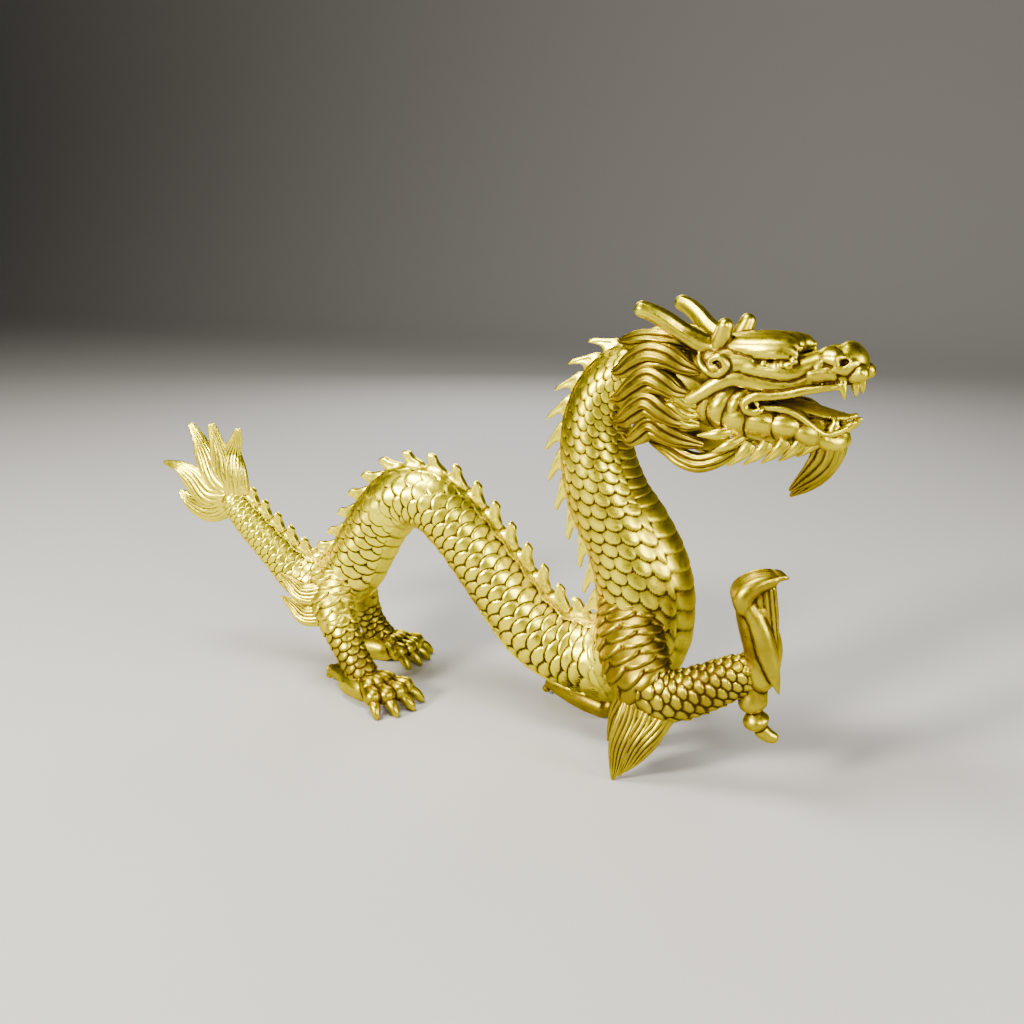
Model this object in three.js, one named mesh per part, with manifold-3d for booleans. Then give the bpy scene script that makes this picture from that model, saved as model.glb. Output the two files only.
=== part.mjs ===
// A Chinese dragon cast in brass in one hollow piece, walking with its head high and one paw raised.
// Millimetres, +Z up. The dragon faces +X and its raised paw is on the -Y side, which is its right.
// All of it is one casting: trunk, legs, paws, head, horns, mane, back spines and tail tuft.
import * as THREE from 'three';
import { mergeVertices } from 'three/addons/utils/BufferGeometryUtils.js';
import Module from 'manifold-3d';

const wasm = await Module();
wasm.setup();

// ---------------------------------------------------------------- driving dimensions
const BRASS = { color: 0xc9a24a, roughness: 0.36, metalness: 1.0 };
const SINK = 0.5; // how far each sole is cast below the ground before it is filed flat
const RINGS_TRUNK = 76; // rings of facets along the trunk, two to each spine of the back
const SIDES_TRUNK = 12;
const SCALE_RELIEF = 0.45; // half the height of the scales on the trunk
const SIDES_LEG = 8;
const LEG_RELIEF = 0.3;
const BELLY_RELIEF = 0.4; // half the step from one belly plate to the next
const BELLY_HALF_ANGLE = 0.95; // radians each way from the belly's middle line
const SPINE_HEIGHT = { tail: 4.4, neck: 6 };
const SPINE_LEAN = 0.75; // how far a spine's tip is drawn back towards the tail, as a share of its height
const SPINE_SADDLE = 0.8; // how proud the back's ridge is between two spines
const BACK_CROWDING = 0.9; // how strongly the sides are drawn towards the back's ridge
const BACK_REACH = 0.9; // radians from the ridge over which they are drawn
const HEAD_AT = new THREE.Vector3(80, -6, 150);
const RAISED_PAW_TURN = 16; // degrees by which the raised palm faces inwards
const HEAD_TURN = -8; // degrees, towards the raised paw's side

// The trunk's middle line from the root of the tail to the back of the skull: x, y, z, radius.
const TRUNK = [
  [-146, -4, 83, 6.4], [-134.5, -3.6, 71, 8.1], [-118, -2, 55, 9.4], [-108.5, -1, 46.5, 10.8],
  [-96, 0, 42, 13.1], [-82.6, 1, 49.4, 13.8], [-74.4, 2, 62, 13.6], [-66, 3, 76.4, 13.4],
  [-53, 3, 88.5, 13.6], [-39, 3, 88.3, 13.8], [-26.5, 3, 79.5, 14.2], [-13.2, 2, 65.6, 14.5],
  [0, 1, 51, 15.1], [13, 0, 38, 15.7], [29, 0, 30, 16.8], [45.6, -1, 31, 18.2], [57.3, -1, 42, 19.1],
  [59.8, -1, 56, 19.3], [57.5, -1, 72, 18.9], [51.6, -1.5, 86.6, 17.4], [44, -2, 99.3, 16.2],
  [38.6, -2, 115.4, 14.6], [37.8, -2, 131, 12.9], [43.6, -2.5, 145, 11.5], [56, -3, 152, 11.3],
  [74, -5, 150, 8],
];

// ---------------------------------------------------------------- shaping tools
const ALONG_Y = new THREE.Vector3(0, 1, 0);
const ALONG_Z = new THREE.Vector3(0, 0, 1);
const HERE = new THREE.Matrix4();

/** A closed three.js geometry as a solid that can be joined and cut. */
function solid(geometry) {
  const bare = geometry.clone();
  bare.deleteAttribute('normal');
  bare.deleteAttribute('uv');
  const merged = mergeVertices(bare, 1e-4);
  return new wasm.Manifold(new wasm.Mesh({
    numProp: 3,
    vertProperties: new Float32Array(merged.attributes.position.array),
    triVerts: new Uint32Array(merged.index.array),
  }));
}

/**
 * The smooth path through stations [x, y, z, half width, half height], with its frame.
 * at(u) gives the place, the direction, the two cross directions and the two half sizes.
 */
function path(stations, place = HERE, across = ALONG_Y) {
  const points = stations.map(([x, y, z]) => new THREE.Vector3(x, y, z).applyMatrix4(place));
  const centre = new THREE.CatmullRomCurve3(points, false, 'centripetal');
  const girth = new THREE.CatmullRomCurve3(
    stations.map(([, , , wide, high]) => new THREE.Vector3(wide, high ?? wide, 0)), false, 'centripetal');
  const hint = across.clone().transformDirection(place);
  centre.arcLengthDivisions = 20 * stations.length;
  const at = (u) => {
    const t = centre.getUtoTmapping(u);
    const tangent = centre.getTangent(t).normalize();
    const side = hint.clone().addScaledVector(tangent, -hint.dot(tangent)).normalize();
    const up = tangent.clone().cross(side);
    const size = girth.getPoint(t);
    return { point: centre.getPoint(t), tangent, side, up, wide: size.x, high: size.y };
  };
  return { at, length: centre.getLength() };
}

/**
 * A closed form along a path: a sphere's rings are carried along it and take its half sizes, the
 * first and last rings draw in to round the ends. skin(turn, ring, u) may raise a corner of a ring
 * or move it along the path, spacing(even) spaces the rings and crowd(turn) spaces the sides.
 */
function form(stations, options = {}) {
  const { place, across, sides = 6, rings = 5, blunt = 0.8, skin, spacing, crowd } = options;
  const line = path(stations, place, across);
  const geometry = new THREE.SphereGeometry(1, sides, rings);
  const position = geometry.attributes.position;
  const here = new THREE.Vector3();
  for (let i = 0; i < position.count; i += 1) {
    here.fromBufferAttribute(position, i);
    const polar = Math.acos(THREE.MathUtils.clamp(here.y, -1, 1));
    const even = polar / Math.PI;
    const u = spacing ? spacing(even) : THREE.MathUtils.clamp(0.5 * even + 0.25 * (1 - Math.cos(polar)), 0, 1);
    const { point, tangent, side, up, wide, high } = line.at(u);
    const reach = Math.min(u, 1 - u) * line.length;
    const roundOver = blunt * Math.max(wide, high);
    const drawn = reach < roundOver ? Math.sqrt(1 - (1 - reach / roundOver) ** 2) : 1;
    const turn = Math.atan2(here.z, here.x);
    const { out, along } = skin ? skin(turn, Math.round(even * rings), u) : { out: 0, along: 0 };
    const ring = Math.sin(polar) < 1e-6 ? 0 : drawn;
    const facing = crowd ? crowd(turn) : turn;
    point.addScaledVector(side, Math.cos(facing) * ring * (wide + out));
    point.addScaledVector(up, Math.sin(facing) * ring * (high + out));
    point.addScaledVector(tangent, along);
    position.setXYZ(i, point.x, point.y, point.z);
  }
  return solid(geometry);
}

/** The same stations on the other side of the middle plane of a frame. */
const mirrored = (stations) => stations.map(([x, y, z, ...size]) => [x, -y, z, ...size]);

/** A thin tapering lock or spike, from root to tip. */
const lock = (stations, place, sides = 4, rings = 4) => form(stations, { place, sides, rings, blunt: 0.3 });

// ---------------------------------------------------------------- trunk, scales and belly plates
/** Spacing of the trunk's rings: even steps along the back, each a fixed share of the local girth. */
function trunkSpacing() {
  const line = path(TRUNK);
  const samples = 400;
  const total = [0];
  let before = line.at(0);
  for (let i = 1; i <= samples; i += 1) {
    const now = line.at(i / samples);
    const alongBack = now.point.clone().addScaledVector(now.up, now.high)
      .sub(before.point.clone().addScaledVector(before.up, before.high)).dot(now.tangent);
    const alongMiddle = line.length / samples;
    total.push(total[i - 1] + Math.max(alongBack, 0.45 * alongMiddle) / now.high);
    before = now;
  }
  return (even) => {
    const goal = even * total[samples];
    const next = Math.max(1, total.findIndex((value) => value >= goal - 1e-9));
    return (next - 1 + (goal - total[next - 1]) / (total[next] - total[next - 1])) / samples;
  };
}

/** The sides crowd towards the middle of the back, so that its spines are thin fins. */
function trunkTurn(turn) {
  const fromBack = Math.atan2(Math.sin(turn - Math.PI / 2), Math.cos(turn - Math.PI / 2));
  return Math.PI / 2 + fromBack * (1 - BACK_CROWDING * Math.exp(-((fromBack / BACK_REACH) ** 2)));
}

/** A row of hooked fins along the back, rows of scales on the flanks, broad plates on the belly. */
function trunkSkin(turn, ring, u) {
  const side = Math.round((turn / (2 * Math.PI)) * SIDES_TRUNK);
  const fromBelly = Math.abs(Math.atan2(Math.sin(turn + Math.PI / 2), Math.cos(turn + Math.PI / 2)));
  const crest = Math.PI - fromBelly < 0.01;
  if (crest && u > 0.02 && u < 0.9) {
    const height = THREE.MathUtils.lerp(SPINE_HEIGHT.tail, SPINE_HEIGHT.neck, Math.min(1, 3 * u));
    return ring % 2 ? { out: height, along: -SPINE_LEAN * height } : { out: SPINE_SADDLE, along: 0 };
  }
  if (fromBelly < BELLY_HALF_ANGLE) return { out: BELLY_RELIEF * (ring % 2 ? 1 : -1), along: 0 };
  return { out: SCALE_RELIEF * ((ring + side) % 2 ? 1 : -1), along: 0 };
}

const trunk = () => form(TRUNK, {
  sides: SIDES_TRUNK, rings: RINGS_TRUNK, skin: trunkSkin, spacing: trunkSpacing(), crowd: trunkTurn });

// ---------------------------------------------------------------- tail tuft
/** A flame of hair at the end of the tail: one grooved fan that parts into five curled tips. */
function tailTuft() {
  const y = -4;
  const locks = [
    [[-144, y, 78, 5, 6], [-158, y, 73, 5, 6.6], [-168, y, 75, 3.6, 4.4], [-175, y - 1, 80, 1]],
    [[-142, y, 80, 5, 6], [-156, y, 80, 5.4, 8], [-166, y - 1, 87.5, 4, 6], [-172, y - 2, 92, 3, 2.8],
      [-182, y - 2, 93.6, 1]],
    [[-142, y, 82, 5, 6], [-151, y, 88, 5, 8], [-159, y + 1, 99, 3.6, 5.4], [-162.4, y + 1, 107, 2.4, 3],
      [-166.5, y + 1, 113.4, 1.2]],
    [[-141, y, 82, 5, 6], [-146, y, 92, 5, 7.4], [-149, y - 1, 103, 3, 4.4], [-152, y - 1, 115, 1.4]],
    [[-140, y, 80, 5, 6], [-141.6, y, 92, 4.6, 6.4], [-142.6, y + 1, 101, 3.4, 4.6], [-140, y + 1, 107, 2.4, 3],
      [-138, y + 1, 113.4, 1.2]],
  ];
  return locks.map((stations) => lock(stations, HERE, 4, 5));
}

// ---------------------------------------------------------------- paws
/**
 * A paw in its own frame: ankle over the origin, toes towards +x, sole at z = 0. Four toes with a
 * high knuckle and a hooked claw, and one toe to the rear.
 */
function paw(place, { spread = [-31, -11, 9, 29], reach = [24, 26, 27, 27] } = {}) {
  const parts = [
    form([[-16, 0, 4.6, 5.5, 4.6], [-6, 0, 6.5, 8.5, 7], [4, 0, 7, 9.5, 7], [13, 0, 5, 8, 5]],
      { place, sides: 8, rings: 5 }),
  ];
  spread.forEach((degrees, toe) => {
    const angle = THREE.MathUtils.degToRad(degrees);
    const out = reach[toe];
    const station = (share, z, radius) => [share * out * Math.cos(angle), share * out * Math.sin(angle), z, radius];
    parts.push(form([
      station(0.1, 7.5, 4.4), station(0.5, 9, 4.6), station(0.74, 6.6, 4), station(0.88, 4.2, 2.8),
      station(1.02, 0.4, 0.6),
    ], { place, sides: 4, rings: 5, blunt: 0.4 }));
  });
  parts.push(form([
    [-8, 0, 5.5, 4.4], [-17, 0.5, 6.5, 4.2], [-24, 1, 5.4, 3.8], [-31, 1.4, 2.4, 1.6],
  ], { place, sides: 4, rings: 4, blunt: 0.6 }));
  return parts;
}

/** A frame at a place, turned about Z by degrees. */
function frame(x, y, z, degrees) {
  const turn = new THREE.Quaternion().setFromAxisAngle(ALONG_Z, THREE.MathUtils.degToRad(degrees));
  return new THREE.Matrix4().compose(new THREE.Vector3(x, y, z), turn, new THREE.Vector3(1, 1, 1));
}

/** A plume of leaf-shaped locks from a line of roots to a line of tips, bent aside in the middle. */
function plume(roots, tips, count, bend, radius) {
  const between = ([from, to], share) => new THREE.Vector3(...from).lerp(new THREE.Vector3(...to), share);
  return Array.from({ length: count }, (_, i) => {
    const share = i / (count - 1);
    const root = between(roots, share);
    const tip = between(tips, share);
    const middle = root.clone().lerp(tip, 0.5).add(new THREE.Vector3(...bend));
    const nearTip = middle.clone().lerp(tip, 0.6);
    return lock([[...root, radius], [...middle, radius], [...nearTip, radius * 0.66], [...tip, 0.6]], HERE, 4, 4);
  });
}

// ---------------------------------------------------------------- legs
/** A leg from the flank down to the ankle, with rows of small scales. */
const leg = (stations, rings = 8) => form(stations, { sides: SIDES_LEG, rings, skin: (turn, ring) => {
  const side = Math.round((turn / (2 * Math.PI)) * SIDES_LEG);
  return { out: LEG_RELIEF * ((ring + side) % 2 ? 1 : -1), along: 0 };
} });

function nearHindLeg() {
  return [
    leg([[-90, -6, 52, 9, 10], [-84, -11, 43, 9, 13], [-78, -15.5, 33, 8.5, 10.5], [-70, -19, 21, 7.5, 8.5],
      [-62, -20, 10, 7, 7.5], [-60, -20, 5, 5, 5]]),
    ...paw(frame(-63, -19.5, -SINK, -15)),
    ...plume([[-90, -14, 44], [-87, -15, 35]], [[-109, -16, 47], [-106, -17, 36]], 2, [-1, -1, -3], 4.6),
  ];
}

function farHindLeg() {
  return [
    leg([[-92, 7, 50, 9, 10], [-89, 12, 40, 9, 12.5], [-86, 17, 30, 8.5, 10], [-80, 20, 19, 7, 8],
      [-76, 21, 10, 6.5, 7], [-75, 21, 5, 5, 5]]),
    ...paw(frame(-80, 21, -SINK, 6), { spread: [-28, -9, 10, 29], reach: [22, 23, 24, 25] }),
    ...plume([[-93, 15, 42], [-91, 16, 33]], [[-112, 18, 45], [-109, 18, 34]], 2, [-1, 1, -3], 4.6),
  ];
}

function farForeleg() {
  return [
    leg([[60, 10, 54, 9, 14], [58, 18, 44, 9, 12], [49, 24, 32, 8.5, 9.5], [41, 23, 21, 7.5, 8],
      [36, 20, 11, 7, 7.5], [35, 19, 5, 5, 5]]),
    ...paw(frame(35, 18, -SINK, 4), { spread: [-30, -10, 10, 30], reach: [24, 26, 26, 25] }),
    ...plume([[52, 28, 38], [45, 29, 24]], [[31, 38, 28], [33, 36, 15]], 2, [-2, 2, -2], 4.4),
  ];
}

function nearForeleg() {
  return [
    leg([[54, -9, 66, 6, 9], [59, -18, 51, 8.5, 14], [67, -26, 38, 9.5, 13], [76, -28.5, 33, 9, 11],
      [89, -27, 38, 7.5, 10], [101, -25.5, 45, 7, 8.5], [110, -25, 50, 6, 6]], 10),
    ...plume([[66, -30, 31], [79, -29, 29]], [[60.6, -39.5, -SINK], [66, -36, 3]], 3, [-0.5, -1, 0], 5),
    ...plume([[62, -22, 35], [68, -25, 31]], [[50, -17, 1.5], [57, -23, 0.5]], 2, [0, 0, 0], 4.2),
    ...raisedPaw(),
  ];
}

/**
 * The raised paw stands upright on the wrist with its palm to the front. In its own frame x is the
 * way the palm faces. Its middle toes hook forwards over the top and its outer toes lie down the palm.
 */
function raisedPaw() {
  const place = frame(106, -25, 0, RAISED_PAW_TURN);
  const parts = [form([[5.4, 0, 42, 6, 5], [5, 0, 50, 10, 6], [4.4, 0, 60, 11, 6.4], [3, 0, 70, 11, 6.4],
    [1, 0, 79, 9, 5.2]], { place, sides: 8, rings: 6 })];
  const fan = 6.4; // from one toe to the next
  for (let toe = 0; toe < 4; toe += 1) {
    const out = (toe - 1.5) * fan;
    const outer = toe === 0 || toe === 3;
    const claw = outer
      ? [[4, out, 81, 3.8], [9, out, 73, 3.6], [10.4, out * 0.9, 61, 3.4], [11.2, out * 0.8, 50, 2.4],
        [11.8, out * 0.7, 41, 0.6]]
      : [[4, out, 84.4, 3.4], [9, out, 85, 2.6], [14, out, 84.6, 0.6]];
    parts.push(form([[2, out * 0.8, 54, 5], [0, out * 0.9, 65, 5], [-2.8, out, 75.4, 5.2], [-0.6, out, 81, 4.4], ...claw],
      { place, sides: 5, rings: outer ? 10 : 7, blunt: 0.4 }));
  }
  // The rear toe hangs from the heel of the palm: two round joints and a blunt claw.
  parts.push(form([[3, 0, 48, 5], [3.4, 0, 38, 5.4], [3.8, 0, 33, 4.2], [4.5, 0, 27.5, 5.2], [8.4, 0, 23, 3.2],
    [13.4, 0, 21.8, 1.6]], { place, sides: 6, rings: 8, blunt: 0.6 }));
  return parts;
}

// ---------------------------------------------------------------- head
const HEAD = new THREE.Matrix4().compose(
  HEAD_AT, new THREE.Quaternion().setFromAxisAngle(ALONG_Z, THREE.MathUtils.degToRad(HEAD_TURN)),
  new THREE.Vector3(1, 1, 1));

/** A form of the head and its twin on the other side. */
const pair = (stations, options) => [
  form(stations, { place: HEAD, ...options }), form(mirrored(stations), { place: HEAD, ...options })];
const pairLock = (stations, sides, rings) => pair(stations, { sides, rings, blunt: 0.3 });

function skullAndJaws() {
  return [
    // Skull, muzzle and upper lip.
    form([[-8, 0, 3, 10, 9], [6, 0, 5, 13, 9.5], [20, 0, 6.5, 12.5, 9], [30, 0, 7, 11, 6], [37, 0, 6.5, 10, 5],
      [44, 0, 8.5, 9, 5.8], [50, 0, 9.6, 9, 6.6], [57, 0, 9.6, 6.5, 4.5]], { place: HEAD, sides: 10, rings: 10 }),
    // Lower jaw with its chin.
    form([[8, 0, -9, 11, 9], [22, 0, -10, 12, 7], [36, 0, -9.8, 10.5, 6], [46, 0, -11, 8.5, 5.6],
      [54, 0, -13, 5, 4.5]], { place: HEAD, sides: 10, rings: 8 }),
    // Tongue, lying on the floor of the mouth.
    form([[22, 0, -4.5, 6, 3], [34, 0, -5, 6.5, 2.6], [46, 0, -7, 4.5, 2], [52, 0, -8.6, 2, 1]],
      { place: HEAD, sides: 5, rings: 5 }),
    // Bulb of the nose.
    form([[47, 0, 12.6, 6, 4.2], [54.4, 0, 12.8, 6, 4.4]], { place: HEAD, sides: 7, rings: 5, blunt: 1 }),
  ];
}

function face() {
  return [
    ...pair([[46, 5.2, 10.4, 3.6], [53, 5.6, 10.6, 4]], { sides: 5, rings: 4, blunt: 1 }), // nostril wings
    ...pair([[28.6, 9.4, 9.6, 3.8], [31.6, 9.8, 9.6, 3.4]], { sides: 5, rings: 4, blunt: 1 }), // eyes
    ...pair([[13, 8.6, 11.4, 3], [20, 9.6, 13.9, 3], [27, 9.2, 14.9, 2.8], [32, 9, 13.9, 2.6], [36, 9.4, 11, 1]],
      { sides: 5, rings: 5 }), // brows
    ...pair([[2, 11, -6, 4, 7], [11, 13.2, -4.6, 5, 9.5], [20, 12.6, -5.6, 4.6, 8.6], [26, 11, -5.6, 3, 4]],
      { sides: 6, rings: 5 }), // cheeks
    ...pair([[0, 15, -6.4, 2], [10, 16, -0.4, 2.4], [18, 15.4, 2.6, 2.2], [26, 13.4, 2.6, 2.2],
      [34, 11.4, 3, 2.4], [41, 9.2, 6.4, 2.4], [46, 8, 9.4, 1.6]], { sides: 4, rings: 6 }), // mane to nose
    ...pair([[54.4, 5.4, 4, 2.2], [46, 8, 4.4, 2.6], [37, 10.4, 2.2, 2.4], [28, 12, 0.4, 2.2],
      [23.5, 12.6, -3, 2.4]], { sides: 4, rings: 4 }), // upper lip
    ...pair([[23.5, 12.2, -4.6, 2.6], [36, 10.4, -5.6, 2.2], [47.6, 7.2, -7.4, 2]], { sides: 4, rings: 4 }), // lower lip
    ...pair([[3, 11, 3.4, 2.6], [8, 14, 8.4, 4.2], [12, 15.6, 8.4, 4.2], [13.6, 16, 5.4, 2]],
      { sides: 5, rings: 4 }), // curled ears
    ...pairLock([[52, 2, 6.4, 2.6], [57, 2.6, 7, 1.9], [60, 3, 10, 1]], 4, 4), // barbel stubs
  ];
}

function teeth() {
  return [
    ...pairLock([[50.6, 5.4, 4.4, 2.4], [51.4, 5.6, 1, 1.5], [52, 5.6, -2, 0.4]], 4, 3),
    ...pairLock([[50.6, 4.4, -12, 2.4], [53.4, 4, -9, 1.6], [55, 3.6, -5.6, 0.4]], 4, 3),
    ...pairLock([[43.6, 7.4, -9, 2.2], [44.8, 7.4, -5, 1.5], [45.4, 7.4, -1.6, 0.4]], 4, 3),
  ];
}

function horns() {
  return [
    ...pair([[12, 8, 9, 4.2], [4, 11, 16.4, 3.6], [-8.4, 14.5, 23, 3.1], [-20, 17.6, 29, 3]],
      { sides: 6, rings: 6, blunt: 0.9 }),
    ...pair([[8, 10, 12, 3], [9.4, 11, 18, 2.6], [9.6, 11.8, 23.6, 2.3]], { sides: 5, rings: 4, blunt: 0.9 }),
  ];
}

/** The mane: a mass of hair behind the cheeks, and over it wavy locks that end in free tips. */
function mane() {
  const parts = [form([[14, 0, -6, 10, 13], [3, 0, -8, 12.6, 20], [-8, 0, -6, 13.4, 18], [-20, 0, -5, 12, 13]],
    { place: HEAD, sides: 8, rings: 5, blunt: 0.4 })];
  const rows = 4;
  for (let row = 0; row < rows; row += 1) {
    const share = row / (rows - 1);
    const root = THREE.MathUtils.lerp(8, -21, share);
    const tip = THREE.MathUtils.lerp(8, -23, share);
    const end = [-33, -36, -34, -22][row];
    parts.push(...pairLock([
      [6, 11, root, 4.2, 4.6], [-4, 14, root + 1.5, 4.4, 5], [-14, 15, (root + tip) / 2 - 3, 4, 4.6],
      [end + 9, 14, tip + 2.5, 3.2, 3.6], [end, 12.5 - share, tip, 0.6],
    ], 4, 6));
  }
  return parts;
}

/** Spikes along the edge of the jaw and a plume of beard under the chin. */
function beard() {
  const parts = [];
  const spikes = 4;
  for (let i = 0; i < spikes; i += 1) {
    const share = i / (spikes - 1);
    const f = 38.5 - 29 * share;
    const l = 8.5 + 3.5 * share;
    parts.push(...pairLock([[f + 6, l - 1.4, -12, 3.2], [f + 3, l + 0.4, -17.4, 2.6], [f, l, -20.5 - 5 * share, 0.4]],
      4, 3));
  }
  for (let i = -1; i <= 1; i += 1) {
    const drop = 5 * Math.abs(i);
    parts.push(lock([[46.5 - drop / 2, 4 * i, -13, 4.6], [48.6 - drop / 2, 4.6 * i, -21, 4.4],
      [45 - drop, 3.6 * i, -30, 3.4], [34.5 - drop / 3, 1.6 * i, -39 + drop, 0.5]], HEAD, 5, 6));
  }
  return parts;
}

// ---------------------------------------------------------------- the casting
const pieces = [
  trunk(), ...tailTuft(), ...nearHindLeg(), ...farHindLeg(), ...nearForeleg(), ...farForeleg(),
  ...skullAndJaws(), ...face(), ...teeth(), ...horns(), ...mane(), ...beard(),
];
let casting = pieces.reduce((joined, piece) => joined.add(piece));

// The soles are filed flat on the ground, and the origin goes under the middle of the casting.
const below = new THREE.BoxGeometry(600, 200, 40);
below.translate(0, 0, -20);
casting = casting.subtract(solid(below));

const { vertProperties, triVerts } = casting.getMesh();
const geometry = new THREE.BufferGeometry();
geometry.setAttribute('position', new THREE.BufferAttribute(vertProperties, 3));
geometry.setIndex(new THREE.BufferAttribute(triVerts, 1));
geometry.computeBoundingBox();
const { min, max } = geometry.boundingBox;

const dragon = new THREE.Mesh(geometry, new THREE.MeshStandardMaterial(BRASS));
dragon.name = 'dragon';
dragon.position.set(-(min.x + max.x) / 2, -(min.y + max.y) / 2, -min.z);
const group = new THREE.Group();
group.add(dragon);
export default group;
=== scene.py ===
import bpy
import numpy as np
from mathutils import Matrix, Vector


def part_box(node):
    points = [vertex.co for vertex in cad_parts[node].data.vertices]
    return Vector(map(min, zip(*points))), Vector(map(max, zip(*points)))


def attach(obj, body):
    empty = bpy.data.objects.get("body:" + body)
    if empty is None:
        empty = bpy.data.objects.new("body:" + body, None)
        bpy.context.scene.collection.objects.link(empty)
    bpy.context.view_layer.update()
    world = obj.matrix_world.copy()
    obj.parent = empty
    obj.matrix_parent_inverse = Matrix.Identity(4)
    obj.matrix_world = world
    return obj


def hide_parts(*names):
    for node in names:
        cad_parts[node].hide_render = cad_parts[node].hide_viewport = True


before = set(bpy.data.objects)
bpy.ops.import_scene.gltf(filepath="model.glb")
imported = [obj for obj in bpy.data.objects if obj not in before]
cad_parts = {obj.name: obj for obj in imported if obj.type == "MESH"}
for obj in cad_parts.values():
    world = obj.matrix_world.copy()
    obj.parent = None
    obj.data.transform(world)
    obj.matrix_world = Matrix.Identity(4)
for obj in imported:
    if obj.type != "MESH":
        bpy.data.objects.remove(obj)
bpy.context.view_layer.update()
scene = bpy.context.scene

# ---- Trunk
# One long hollow body of cast brass, from the root of the tail to the back of the skull, made by the lost-wax
# way in one piece with all that follows. Overlapping rounded scales, free towards the tail, cover its flanks,
# broad plates its belly, and a raised band along its back carries the fins.

# All of it is drawn in millimetres from a point on the ground under the middle of the back, +x to the head
# and +z up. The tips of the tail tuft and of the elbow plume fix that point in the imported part.
TUFT_TIP_X, PLUME_TIP_Y = -182.0, -41.2113
low, high = (np.array(corner, float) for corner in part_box("dragon"))
origin = np.array([low[0] - TUFT_TIP_X / 1000, low[1] - PLUME_TIP_Y / 1000, 0.0])

TRUNK = [  # x, y, z, radius
    (-146, -4, 83, 6.4), (-134.5, -3.6, 71, 8.1), (-118, -2, 55, 9.4), (-108.5, -1, 46.5, 10.8),
    (-96, 0, 42, 13.1), (-82.6, 1, 49.4, 13.8), (-74.4, 2, 62, 13.6), (-66, 3, 76.4, 13.4),
    (-53, 3, 88.5, 13.6), (-39, 3, 88.3, 13.8), (-26.5, 3, 79.5, 14.2), (-13.2, 2, 65.6, 14.5),
    (0, 1, 51, 15.1), (13, 0, 38.4, 15.5), (29, 0, 31.6, 16), (45.6, -1, 32, 17.4), (57.3, -1, 42, 19.1),
    (59.8, -1, 56, 19.3), (57.5, -1, 72, 18.9), (51.6, -1.5, 86.6, 17.4), (44, -2, 99.3, 16.2),
    (38.6, -2, 115.4, 14.6), (37.8, -2, 131, 12.9), (43.6, -2.5, 145, 11.5), (56, -3, 152, 11.3),
    (74, -5, 150, 8),
]
BAND, BAND_HEIGHT = 0.32, 0.75     # half angle of the raised band along the back, in radians, and its height
GROOVES = (0.9, 0.5, 0.6), (2.0, 0.35, 0.5)    # in the band: mm in from its edge, depth, share of dirt
NECK_FROM = 0.615                  # share of the trunk's length where the neck begins
BODY_ROW, NECK_ROW = 0.28, 0.32    # a row of scales as a share of the radius
# The skin: scale columns a side; how deep a scale's free edge curves, in rows; how high it stands by the back
# and by the belly, as shares of the radius; softness of its lines; half angle of the belly plates; plates to
# a row of scales and how far they curve; slant of the rows.
BODY_SKIN = {"columns": 3, "deep": 0.95, "by_back": 0.05, "by_belly": 0.10, "soft": 0.15, "half_belly": 0.82,
             "plates": 0.5, "curve": 0.12, "slant": 0.0}
NECK_SKIN = {"columns": 6, "deep": 0.66, "by_back": 0.06, "by_belly": 0.06, "soft": 0.2, "half_belly": 0.62,
             "plates": 1.0, "curve": 0.4, "slant": 1.4}
# The last column, handling, also sets how light a part's tone is painted: a lower value is darker, partly as
# painted shade.
TRUNK_PARTS = [  # name, from share, to share, skin, rings to a row of scales, handling
    ("trunk_tail", 0.0, 0.30, BODY_SKIN, 7, 1.0), ("trunk_back", 0.30, NECK_FROM, BODY_SKIN, 7, 1.0),
    ("trunk_neck", NECK_FROM, 1.0, NECK_SKIN, 9, 0.56),
]


def line(stations, place=None, across=(0, 1, 0)):
    """Smooth line through stations (x, y, z, half width, half height): on each span a cubic whose end
    tangents weigh the neighbouring spans by the square roots of their lengths, tabled by arc length.
    Gives at(share) -> centre, direction, side, up, half width, half height, and the length."""
    table = [tuple(s) + (s[3],) * (len(s) == 4) for s in stations]
    p = np.array(table, float)
    hint = np.array(across, float)
    if place is not None:
        turn, shift = place
        p[:, :3] = p[:, :3] @ turn.T + shift
        hint = turn @ hint
    ends = np.vstack([2 * p[0] - p[1], p, 2 * p[-1] - p[-2]])
    step = np.diff(ends, axis=0)
    span = np.maximum(np.linalg.norm(step[:, :3], axis=1) ** 0.5, 1e-2)[:, None]
    a, b, c = span[:-2], span[1:-1], span[2:]
    start = b * (step[:-2] / a - (step[:-2] + step[1:-1]) / (a + b) + step[1:-1] / b)
    end = b * (step[1:-1] / b - (step[1:-1] + step[2:]) / (b + c) + step[2:] / c)
    w = (np.arange(60) / 60)[:, None, None]
    base, target = p[:-1][None], p[1:][None]
    rows = (base * (2 * w**3 - 3 * w**2 + 1) + start[None] * (w**3 - 2 * w**2 + w)
            + target * (3 * w**2 - 2 * w**3) + end[None] * (w**3 - w**2))
    rows = np.vstack([rows.transpose(1, 0, 2).reshape(-1, p.shape[1]), p[-1:]])
    run = np.concatenate([[0], np.cumsum(np.linalg.norm(np.diff(rows[:, :3], axis=0), axis=1))])
    ahead = np.gradient(rows[:, :3], run, axis=0)

    def at(share):
        s = np.clip(share, 0, 1) * run[-1]
        row = np.stack([np.interp(s, run, rows[:, k]) for k in range(5)], 1)
        t = np.stack([np.interp(s, run, ahead[:, k]) for k in range(3)], 1)
        t /= np.linalg.norm(t, axis=1)[:, None]
        side = hint - (t @ hint)[:, None] * t
        side /= np.linalg.norm(side, axis=1)[:, None]
        return row[:, :3], t, side, np.cross(t, side), row[:, 3], row[:, 4]

    return at, run[-1]


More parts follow.
